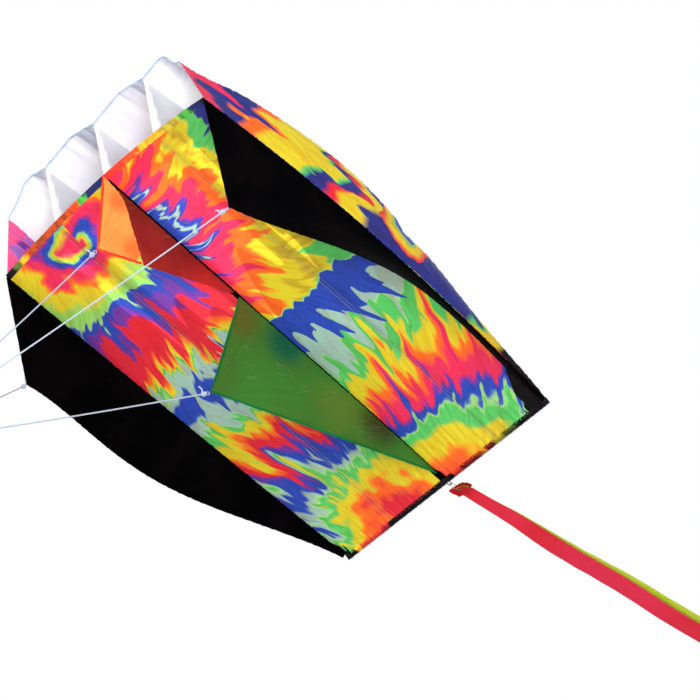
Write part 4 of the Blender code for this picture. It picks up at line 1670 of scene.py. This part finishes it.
@dataclass
class Tail:
    """A loop on the trailing edge, a wire link, a folded tab with an eyelet, and two ribbons."""

    wing: Wing
    link_rise: float = math.radians(20.3)
    ribbon_rise: float = math.radians(12.3)
    loop_out: float = 0.0045
    loop_half: float = 0.0036
    loop_radius: float = 0.0009
    link_wire: float = 0.00055
    link_half: float = 0.0036
    link_straight: float = 0.0085
    link_ahead: float = 0.00185
    tab_pivot: float = 0.01395
    # Its half width to the left and to the right at shares of the way down it, and its back edge across it
    tab_left: Points = ((0.0, 0.6, 1.0), (0.0160, 0.0176, 0.0184))
    tab_right: Points = ((0.0, 0.3, 0.75, 1.0), (0.0189, 0.0226, 0.0243, 0.0225))
    tab_back: Points = ((-0.0184, -0.0102, 0.0179, 0.0243), (0.0166, 0.0185, 0.0153, 0.0121))
    tab_thickness: float = 0.0017
    tab_ruffle: Ruffle = Ruffle(0.0006, 0.010, 2.4)
    red_end_ruffle: Ruffle = Ruffle(0.0003, 0.008, 3.3)
    eyelet_back: float = 0.00165
    # Radii and heights round the eyelet's rolled rim
    eyelet_rim: Points = (
        (0.0026, 0.0), (0.0027, 0.0011), (0.0030, 0.0017), (0.0036, 0.0019), (0.0042, 0.0015),
        (0.0045, 0.0010), (0.0042, 0.0009), (0.0032, 0.0009), (0.0032, -0.0009), (0.0042, -0.0009),
        (0.0045, -0.0010), (0.0042, -0.0016), (0.0036, -0.0020), (0.0030, -0.0018), (0.0027, -0.0011),
        (0.0026, 0.0))
    ribbon_start: float = 0.03265
    ribbon_length: float = 0.560
    ribbon_width: float = 0.040
    ribbon_wave: float = 0.0016
    ribbon_gather: Ruffle = Ruffle(0.0006, 0.011, 5.5)  # where it is gathered into the tab
    ribbon_curl: Ruffle = Ruffle(0.0004, 0.09, 1.4)  # along its edges

    def build(self) -> None:
        """Builds the tail from the canopy back."""
        self.loop()
        self.link()
        self.tab()
        self.eyelet()
        self.ribbon("red", RED_RIBBON, 0.028, 0.0, 0.0, -0.0004)
        self.ribbon("lime", LIME_RIBBON, 0.024, 0.013, 0.004, 0.0014)

    def frame_at(self, along: float = 0.0, high: float = 0.0) -> Matrix:
        """A frame on the tail, with +Y down it.

        Args:
            along: How far down the tail it is.
            high: How far above its middle.

        Returns:
            The frame.
        """
        hold = Vector((0, self.wing.back + self.wing.chord + self.wing.roll + self.loop_out,
                       self.wing.up + self.wing.rib_top[-1][1] / 2))
        slope = Matrix.Translation(hold) @ Matrix.Rotation(self.link_rise, 4, "X")
        return slope @ Matrix.Translation((0, along, high))

    def loop(self) -> None:
        """The sewn loop on the trailing edge."""
        rear = self.wing.back + self.wing.chord
        high = self.wing.up + self.wing.rib_top[-1][1] / 2
        half, sewn = self.loop_half, rear - 0.004
        bend = rear + self.wing.roll + self.loop_out - half
        angles = np.linspace(math.pi, 0, 24)
        curve = stack(half * np.cos(angles), bend + half * np.sin(angles), high)
        path = np.vstack([[(-half, sewn, high)], curve, [(half, sewn, high)]])
        loop = tube_piece("trailing_loop", path, self.loop_radius)
        hand_over(loop, BLACK_LINE.make(), "canopy", "black_fabric", "tail_loop")

    def link(self) -> None:
        """The bent wire link."""
        front = np.radians(np.linspace(90, 270, 24))
        back = np.radians(np.linspace(-90, 90, 24))
        half, ahead, behind = self.link_half, self.link_ahead, self.link_ahead + self.link_straight
        path = np.vstack([stack(0.0, ahead + half * np.cos(front), half * np.sin(front)),
                          stack(0.0, behind + half * np.cos(back), half * np.sin(back))])
        link = tube_piece("wire_link", placed(self.frame_at(), path), self.link_wire, 10, closed=True)
        hand_over(link, STEEL.make(), "tail_link", "steel_wire", "tail_link")

    def tab(self) -> None:
        """The folded cloth tab and, on it, the ends of the two ribbons that it gathers."""
        across, along = np.meshgrid(np.linspace(-1, 1, 49), np.linspace(0, 1, 41))
        left, right = np.interp(along, *self.tab_left), np.interp(along, *self.tab_right)
        x = np.where(across < 0, across * left, across * right)
        front = -0.0072 + 0.0032 * (x + 0.016) / 0.035
        y = blend(front, np.interp(x, *self.tab_back), along)
        away = np.hypot(x, y - self.eyelet_back)
        lift = self.tab_ruffle.at(x * (1 + 0.5 * along)) * ease(0.003, 0.010, away)
        self.patch("folded_tab", stack(x, y, lift - self.tab_curl(x, y)), TAB, "dark_red_fabric",
                   self.tab_thickness, ("tail_tab",))
        x = blend(-0.0095, blend(0.0125, 0.0168, along), across * 0.5 + 0.5)
        y = blend(0.0062 - 0.0035 * ease(-0.006, 0.016, x), 0.0182, along)
        lift = -0.0014 + self.red_end_ruffle.at(x)
        self.patch("red_ribbon_end", stack(x, y, lift), RED_RIBBON, "red_ribbon")
        # The lime ribbon's gathered end, drawn olive as painted shade
        x = blend(0.0055, 0.0170, across * 0.5 + 0.5) + 0.0040 * along
        y = blend(-0.0010, 0.0115, along)
        lift = -0.0007 - 0.0011 * ease(0.0100, 0.0130, x - 0.0040 * along) - self.tab_curl(x, y)
        self.patch("lime_ribbon_end", stack(x, y, lift), SHADED_LIME_RIBBON, "lime_ribbon")

    def tab_curl(self, x: Array, y: Array) -> Array:
        """How far the tab's front corners curl down.

        Args:
            x: Places across the tab.
            y: Places down the tab.

        Returns:
            The drop at each place.
        """
        return 0.0016 * ease(0.010, 0.018, np.abs(x)) * (1 - ease(0.004, 0.0175, y))

    def patch(self, name: str, shape: Array, finish: Cloth, slot: str, thickness: float = FABRIC,
              replaced: tuple[str, ...] = ()) -> None:
        """A small piece of cloth on the tab.

        Args:
            name: Its name.
            shape: Its points from the tab's pivot.
            finish: Its cloth.
            slot: The material it stands for.
            thickness: Its thickness.
            replaced: The frame's nodes that it replaces.
        """
        points = placed(self.frame_at(self.tab_pivot), shape)
        cloth = sheet_piece(name, points, thickness)
        hand_over(cloth, finish.make(), "tail_tab", slot, *replaced)

    def eyelet(self) -> None:
        """The rolled brass eyelet."""
        radii, heights = np.array(self.eyelet_rim).T
        angles = np.linspace(0, 2 * math.pi, 49)[:, None]
        points = stack(radii * np.cos(angles), self.eyelet_back + radii * np.sin(angles), heights)
        eyelet = grid_piece("rolled_eyelet", placed(self.frame_at(self.tab_pivot), points))
        finish_mesh(close_ends(eyelet), 40)
        hand_over(eyelet, BRASS.make(), "tail_tab", "brass_eyelet", "tail_eyelet")

    def ribbon(self, name: str, finish: Cloth, start: float, shift: float, lift: float, high: float) -> None:
        """A ribbon that streams back from its gathered start.

        Args:
            name: red or lime.
            finish: Its cloth.
            start: Its width where it is gathered.
            shift: How far it drifts to the right by its end.
            lift: How far it rises by its end.
            high: Its height in the tail's frame.
        """
        across, share = np.meshgrid(np.linspace(-0.5, 0.5, 25), np.linspace(0, 1, 241))
        width = blend(start, self.ribbon_width, ease(0.0, 0.35, share))
        drift = ease(0.0, 1.0, share)
        height = self.ribbon_wave * np.sin(4.4 * math.pi * share) * ease(0, 0.3, share) + lift * drift
        x = across * width + 0.0030 * (1 - ease(0.1, 0.5, share))
        gather = self.ribbon_gather.at(across * 0.042, 3 * shift) * (1 - ease(0.02, 0.30, share))
        curl = self.ribbon_curl.at(share * self.ribbon_length + 0.4 * x) * np.abs(2 * across) ** 2
        points = stack(shift * drift + x, self.ribbon_length * share, height + gather + curl)
        droop = Matrix.Rotation(self.ribbon_rise - self.link_rise, 4, "X")
        points = placed(self.frame_at(self.ribbon_start, high) @ droop, points)
        ribbon = sheet_piece(f"{name}_tail_ribbon", points)
        hand_over(ribbon, finish.make(), f"{name}_ribbon", f"{name}_ribbon", f"{name}_ribbon")


# ---- this kite's colours ----

PINK = srgb(236, 51, 91)
HOT_PINK = srgb(244, 92, 150)
LILAC = srgb(150, 108, 196)
RED = srgb(230, 45, 60)
ORANGE = srgb(255, 110, 40)
YELLOW = srgb(225, 205, 45)
MUSTARD = srgb(200, 170, 40)
GREEN = srgb(90, 200, 100)
LIME = srgb(150, 215, 100)
BLUE = srgb(45, 75, 180)
NAVY = srgb(45, 50, 130)
PURPLE = srgb(110, 60, 160)
MIST = srgb(160, 195, 180)
BACK = Wing().back

DARK = srgb(6, 5, 8)
# Where the cloth was folded before it was dyed, so that each half has a centre of its own
FOLD = BACK + 0.385
RIB_SEAM = 0.153  # how far to the side an inner rib is sewn on


def corner_burst(side: Side, reach: float, narrow: float, seed: float) -> Burst:
    """Black at a trailing corner, over a reach along the side and a narrow strip across."""
    return Burst((side.value * 0.300, BACK + 0.775), ((0.0, DARK), (0.5, DARK)), towards=-1, flatten=9.0,
                 widen=reach / narrow, radius=reach, flames=9.0, flame_length=0.03, core_jag=0.03,
                 calm=(0.0, 0.05), seed=seed)


LEFT_DYE = TieDye("left_tie_dye", (
    Burst(
        (-0.142, BACK + 0.036),
        ((0.0, PINK), (0.012, YELLOW), (0.021, GREEN), (0.026, BLUE), (0.044, PINK), (0.064, ORANGE),
         (0.072, YELLOW), (0.098, LIME), (0.124, BLUE), (0.150, PURPLE), (0.182, RED), (0.268, ORANGE),
         (0.284, YELLOW), (0.304, GREEN), (0.316, MIST)),
        widen=0.6, reach=0.12, swirl=0.040, flames=9.0, flame_length=0.070, core_jag=0.028, calm=(0.05, 0.26),
        seed=1.0),
    Burst(
        (-0.113, BACK + 0.740),
        ((0.0, RED), (0.030, ORANGE), (0.055, YELLOW), (0.088, GREEN), (0.106, MIST), (0.122, BLUE),
         (0.152, PURPLE), (0.172, RED), (0.215, ORANGE), (0.240, YELLOW), (0.288, GREEN), (0.315, MIST)),
        towards=-1, widen=0.6, reach=0.14, starts=FOLD, flames=10.0, flame_length=0.065, core_jag=0.05,
        calm=(0.05, 0.2), seed=5.0),
    Burst((-0.150, FOLD), ((0.0, BLUE), (0.024, MIST), (0.040, MIST)), widen=0.0, radius=0.040, flatten=1.0,
          flames=12.0, flame_length=0.030, licks=0.02, calm=(-0.06, 0.02), seed=6.5),
    corner_burst(Side.LEFT, 0.08, 0.018, 31.0),
), seam=RIB_SEAM)
RIGHT_DYE = TieDye("right_tie_dye", (
    Burst(
        (0.0, BACK + 0.115),
        ((0.0, BLUE), (0.030, MIST), (0.048, BLUE), (0.066, PURPLE), (0.080, PINK), (0.170, ORANGE),
         (0.235, YELLOW), (0.295, MUSTARD), (0.325, YELLOW), (0.355, GREEN), (0.440, NAVY)),
        widen=1.64, flatten=0.30, reach=0.0, aside=0.16, flames=9.0, flame_length=0.075, spiky=0.7,
        licks=0.035, calm=(-0.04, 0.06), seed=9.0),
    Burst(
        (0.0, BACK + 0.790),
        ((0.0, RED), (0.050, ORANGE), (0.070, YELLOW), (0.114, GREEN), (0.140, BLUE), (0.165, PINK),
         (0.205, ORANGE), (0.230, YELLOW), (0.270, GREEN), (0.330, MIST)),
        towards=-1, widen=0.6, reach=0.15, starts=FOLD, flames=11.0, flame_length=0.060, spiky=0.6,
        calm=(0.10, 0.28), seed=13.0),
    Burst((0.0, FOLD - 0.006), ((0.0, BLUE), (0.034, BLUE)), widen=0.0, radius=0.034, flatten=1.0, licks=0.0,
          starts=FOLD - 0.020, frayed=0.014, flames=13.0, flame_length=0.045, spiky=1.2, calm=(0.0, 0.05),
          seed=14.5),
    corner_burst(Side.RIGHT, 0.12, 0.040, 33.0),
), seam=RIB_SEAM)
MOUTH_END = BACK - Wing().end_ahead
RIGHT_END_DYE = TieDye("right_end_tie_dye", (
    Burst(
        (0.80, MOUTH_END),
        ((0.0, PINK), (0.065, NAVY), (0.140, ORANGE), (0.180, YELLOW), (0.270, GREEN), (0.280, NAVY),
         (0.315, RED), (0.345, YELLOW), (0.395, NAVY), (0.540, NAVY), (0.600, GREEN), (0.612, YELLOW),
         (0.675, DARK)),
        widen=0.6, flatten=0.05, flames=9.0, flame_length=0.035, calm=(0.0, 0.1), seed=17.0),
    Burst(
        (0.846, BACK + 0.410),
        ((0.0, BLUE), (0.022, GREEN), (0.027, YELLOW), (0.050, RED)),
        widen=1.1, flatten=9.0, flames=3.0, flame_length=0.02, radius=0.060, seed=21.0),
), way=Way.RIB)
LEFT_END_DYE = TieDye("left_end_tie_dye", (
    Burst(
        (0.80, MOUTH_END),
        ((0.0, HOT_PINK), (0.030, LILAC), (0.052, HOT_PINK), (0.075, PURPLE), (0.095, HOT_PINK),
         (0.130, ORANGE), (0.175, YELLOW), (0.270, GREEN), (0.280, NAVY), (0.315, RED), (0.345, YELLOW),
         (0.395, NAVY), (0.460, RED), (0.500, ORANGE), (0.540, NAVY), (0.600, GREEN), (0.612, YELLOW),
         (0.675, DARK)),
        widen=0.6, flatten=0.05, flames=9.0, flame_length=0.040, calm=(-0.05, 0.03), seed=25.0),
), way=Way.RIB)
LEADING_HEM_DYE = EdgeDye("leading_hem_cloth", (
    (-0.305, DARK), (-0.280, srgb(70, 90, 40)), (-0.262, srgb(190, 150, 40)), (-0.245, srgb(150, 60, 30)),
    (-0.110, srgb(190, 60, 30)), (-0.085, srgb(60, 150, 60)), (-0.060, srgb(26, 36, 90)),
    (-0.008, srgb(20, 18, 50)), (0.004, srgb(235, 50, 40)), (0.060, srgb(225, 70, 40)),
    (0.100, srgb(215, 150, 40)), (0.170, srgb(150, 140, 50)), (0.225, srgb(60, 140, 60)),
    (0.262, srgb(24, 34, 90)), (0.290, DARK)))
TRAILING_HEM_DYE = EdgeDye("trailing_hem_cloth", (
    (-0.305, DARK), (-0.266, srgb(225, 180, 45)), (-0.250, srgb(205, 60, 45)), (-0.190, srgb(150, 30, 50)),
    (-0.168, DARK), (0.024, srgb(205, 50, 38)), (0.050, DARK), (0.057, srgb(112, 18, 20)),
    (0.085, srgb(140, 40, 20)), (0.105, srgb(190, 120, 30)), (0.118, srgb(90, 20, 16)),
    (0.140, srgb(150, 140, 35)), (0.165, srgb(60, 70, 24)), (0.200, DARK)), pale_fold_from=BACK + 0.7594)

UP = Wing().up
# The keel's red-orange cloth drawn light orange, as painted light shining through it; its glows are darker
# patches of painted shade
ORANGE_KEEL = Cloth("orange_keel_cloth", srgb(255, 165, 80), srgb(255, 152, 72), Way.RIB, creases=0.06,
                    glows=(Glow((UP, BACK + 0.035), 0.030, srgb(228, 118, 52)),
                           Glow((UP - 0.060, BACK + 0.100), 0.034, srgb(236, 112, 50))))
ORANGE_HEM = Cloth("orange_keel_hem", srgb(250, 72, 40), srgb(235, 60, 35), Way.RIB)
# The front keel's cloth in the sail's shadow, drawn as a dark red cloth: painted shadow, with glows of
# painted light and shade
SHADOWED_KEEL_CLOTH = Cloth("keel_shadow_cloth", srgb(148, 38, 30), srgb(134, 30, 26), Way.RIB, creases=0.03, glows=(
    Glow((UP + 0.012, BACK + 0.060), 0.060, srgb(112, 30, 20)),
    Glow((UP, BACK + 0.26), 0.085, srgb(176, 40, 38)),
    Glow((UP - 0.075, BACK + 0.11), 0.05, srgb(158, 44, 34), 0.6)))
# Its glows are patches of painted light and shade, darkest along the skin where the sail shades the keel
GREEN_KEEL = Cloth("green_keel_cloth", srgb(58, 116, 42), srgb(62, 108, 40), Way.RIB, creases=0.07, glows=(
    Glow((UP - 0.020, BACK + 0.310), 0.060, srgb(86, 88, 32)),
    Glow((UP, BACK + 0.400), 0.055, srgb(10, 88, 62), 0.9),
    Glow((UP - 0.120, BACK + 0.420), 0.100, srgb(62, 124, 46), 0.6),
    Glow((UP - 0.030, BACK + 0.530), 0.070, srgb(86, 116, 40)),
    Glow((UP, BACK + 0.610), 0.055, srgb(48, 48, 22)),
    Glow((UP - 0.010, BACK + 0.700), 0.050, srgb(58, 118, 42), 0.7)))
GREEN_HEM = Cloth("green_keel_hem", srgb(10, 120, 55), srgb(10, 100, 50), Way.RIB)
BLACK_KEEL = Cloth("black_keel_cloth", srgb(2, 2, 3), srgb(7, 5, 6), Way.RIB, roughness=0.9, specular=0.01)
BLACK_HEM = Cloth("black_keel_hem", srgb(2, 2, 3), srgb(6, 5, 6), Way.RIB, roughness=0.9, specular=0.01)
BLACK_TAPE = Cloth("black_seam_tape", srgb(4, 4, 5), srgb(10, 8, 9), roughness=0.9, specular=0.01)
TAB = Cloth("folded_tab_cloth", srgb(188, 16, 14), srgb(150, 10, 10))
# Its glows are painted shade at its start by the tab, and a painted pink sheen further down
RED_RIBBON = Cloth("red_ribbon_cloth", srgb(218, 38, 50), srgb(226, 46, 70), blotch=9.0, glows=(
    Glow((0.0, BACK + 0.785), 0.028, srgb(176, 24, 28)),
    Glow((0.0, BACK + 1.10), 0.20, srgb(228, 52, 86), 0.6)))
LIME_RIBBON = Cloth("lime_ribbon_cloth", srgb(186, 208, 44), srgb(200, 215, 70))
# The lime ribbon's end gathered on the tab, drawn olive: painted shade
SHADED_LIME_RIBBON = Cloth("shaded_lime_ribbon_cloth", srgb(128, 116, 20), srgb(150, 90, 20), blotch=160.0)
BLACK_LINE = Line("black_line", srgb(30, 30, 34), srgb(12, 12, 14))
# Its grooves drawn pale blue: painted shade tinted by the sky
WHITE_LINE = Line("bridle_line", srgb(214, 216, 226), srgb(150, 170, 205))
STEEL = Metal("steel_wire", srgb(190, 190, 196), srgb(140, 138, 140))
BRASS = Metal("brass_eyelet", srgb(150, 128, 84), srgb(92, 66, 46), 0.45)


# ---- studio ----


def hang_lamp(name: str, power: float, frame_at: Matrix, width: float, length: float | None = None) -> Piece:
    """Adds a soft lamp.

    Args:
        name: Its name.
        power: Its power in watts.
        frame_at: The frame that it hangs in, whose Z it shines along.
        width: Its width.
        length: Its length, if it isn't round.

    Returns:
        The lamp.
    """
    data = bpy.data.lights.new(name, "AREA")
    data.shape = "DISK" if length is None else "RECTANGLE"
    data.size = width
    data.size_y = length or width
    data.energy = power
    lamp = bpy.data.objects.new(name, data)
    lamp.matrix_world = frame_at @ Matrix.Rotation(math.pi, 4, "X")
    bpy.context.scene.collection.objects.link(lamp)
    return lamp


@dataclass(frozen=True)
class Lamp:
    """A large round lamp aimed at the kite."""

    name: str
    place: Place
    target: Place
    size: float
    power: float

    def hang(self) -> None:
        """Adds the lamp to the scene."""
        hang_lamp(self.name, self.power, frame_along(np.array(self.place), np.array(self.target)), self.size)


@dataclass(frozen=True)
class CellLight:
    """The daylight that a cell's thin cloth lets in, which shines up from just over the bottom skin."""

    name: str
    place: Place
    width: float = 0.11
    length: float = 0.52
    power: float = 0.12

    def hang(self) -> None:
        """Adds the lamp to the scene, where the camera doesn't see it."""
        lamp = hang_lamp(f"{self.name}_cell_light", self.power, Matrix.Translation(self.place), self.width,
                         self.length)
        lamp.visible_camera = False
        lamp.visible_glossy = False


@dataclass(frozen=True)
class Studio:
    """The camera below the kite, soft lamps and a pale floor."""

    eye: Place = (7.0167, -1.2425, -6.2625)
    right: Place = (0.5573, 0.7485, 0.3593)
    upward: Place = (0.4602, -0.6387, 0.6166)
    backward: Place = (0.691, -0.1783, -0.7005)
    lens: float = 314.1
    sensor: float = 36.0
    lamps: tuple[Lamp, ...] = (
        Lamp("key", (2.9, -0.9, -1.8), (0.0, 0.45, 0.8), 2.4, 160.0),
        Lamp("mouth", (2.6, -3.0, 0.0), (0.0, 0.0, 0.8), 1.8, 16.0),
        Lamp("top", (-0.8, 1.2, 3.6), (0.0, 0.45, 0.8), 3.0, 60.0),
    )
    cell_middles: tuple[float, ...] = (-0.225, -0.075, 0.075, 0.225)
    floor_down: float = -2.5
    floor_half: float = 30.0
    ambient: float = 0.57

    def build(self) -> None:
        """Sets up everything round the kite."""
        self.camera()
        self.floor()
        self.world()
        for lamp in self.lamps:
            lamp.hang()
        for name, middle in zip(CELL_NAMES, self.cell_middles):
            CellLight(name, (middle, BACK + 0.300, UP + 0.012)).hang()
        bpy.context.scene.view_settings.view_transform = "Standard"

    def camera(self) -> None:
        """A long lens, from below and to the kite's right."""
        data = bpy.data.cameras.new("camera")
        data.lens = self.lens
        data.sensor_width = self.sensor
        data.clip_end = 100.0
        camera = bpy.data.objects.new("camera", data)
        turn = Matrix((self.right, self.upward, self.backward)).transposed().to_4x4()
        camera.matrix_world = Matrix.Translation(self.eye) @ turn
        bpy.context.scene.collection.objects.link(camera)
        bpy.context.scene.camera = camera

    def floor(self) -> None:
        """A pale floor, seen from above only, which keeps the kite's shadow."""
        bpy.ops.object.select_all(action="DESELECT")
        bpy.ops.mesh.primitive_plane_add(size=2 * self.floor_half)
        floor = bpy.context.object
        floor.name = "floor"
        for vertex in floor.data.vertices:
            vertex.co.z = self.floor_down
        material = bpy.data.materials.new("pale_floor")
        material.use_nodes = True
        graph = Nodes(material.node_tree)
        graph.nodes.clear()
        behind = graph.add("ShaderNodeNewGeometry").outputs["Backfacing"]
        pale = graph.add("ShaderNodeBsdfDiffuse")
        pale.inputs["Color"].default_value = (0.85, 0.85, 0.86, 1.0)
        clear = graph.add("ShaderNodeBsdfTransparent")
        side = graph.add("ShaderNodeMixShader")
        for value, socket in zip((behind, pale.outputs[0], clear.outputs[0]), side.inputs):
            graph.put(value, socket)
        graph.put(side.outputs[0], graph.add("ShaderNodeOutputMaterial").inputs["Surface"])
        floor.data.materials.append(material)

    def world(self) -> None:
        """White behind the kite and in its reflections, and a plain even light on it."""
        world = bpy.data.worlds.new("pale_world")
        bpy.context.scene.world = world
        world.use_nodes = True
        graph = Nodes(world.node_tree)
        graph.nodes.clear()
        rays = graph.add("ShaderNodeLightPath").outputs
        shiny = graph.math("MAXIMUM", rays["Is Glossy Ray"], rays["Is Transmission Ray"])
        choice = graph.add("ShaderNodeMixShader")
        graph.put(graph.math("MAXIMUM", rays["Is Camera Ray"], shiny), choice.inputs[0])
        for socket, strength in zip(choice.inputs[1:], (self.ambient, 1.0)):
            white = graph.add("ShaderNodeBackground")
            white.inputs["Color"].default_value = (1.0, 1.0, 1.0, 1.0)
            white.inputs["Strength"].default_value = strength
            graph.put(white.outputs[0], socket)
        graph.put(choice.outputs[0], graph.add("ShaderNodeOutputWorld").inputs["Surface"])


def main() -> None:
    """Builds the kite and its studio."""
    logging.basicConfig(level=logging.INFO, format="%(name)s: %(message)s")
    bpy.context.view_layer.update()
    Studio().build()
    wing = Wing()
    Bridle(wing).build()
    Canopy(wing).build()
    Keels(wing).build()
    Tail(wing).build()


if __name__ == "__main__":
    main()
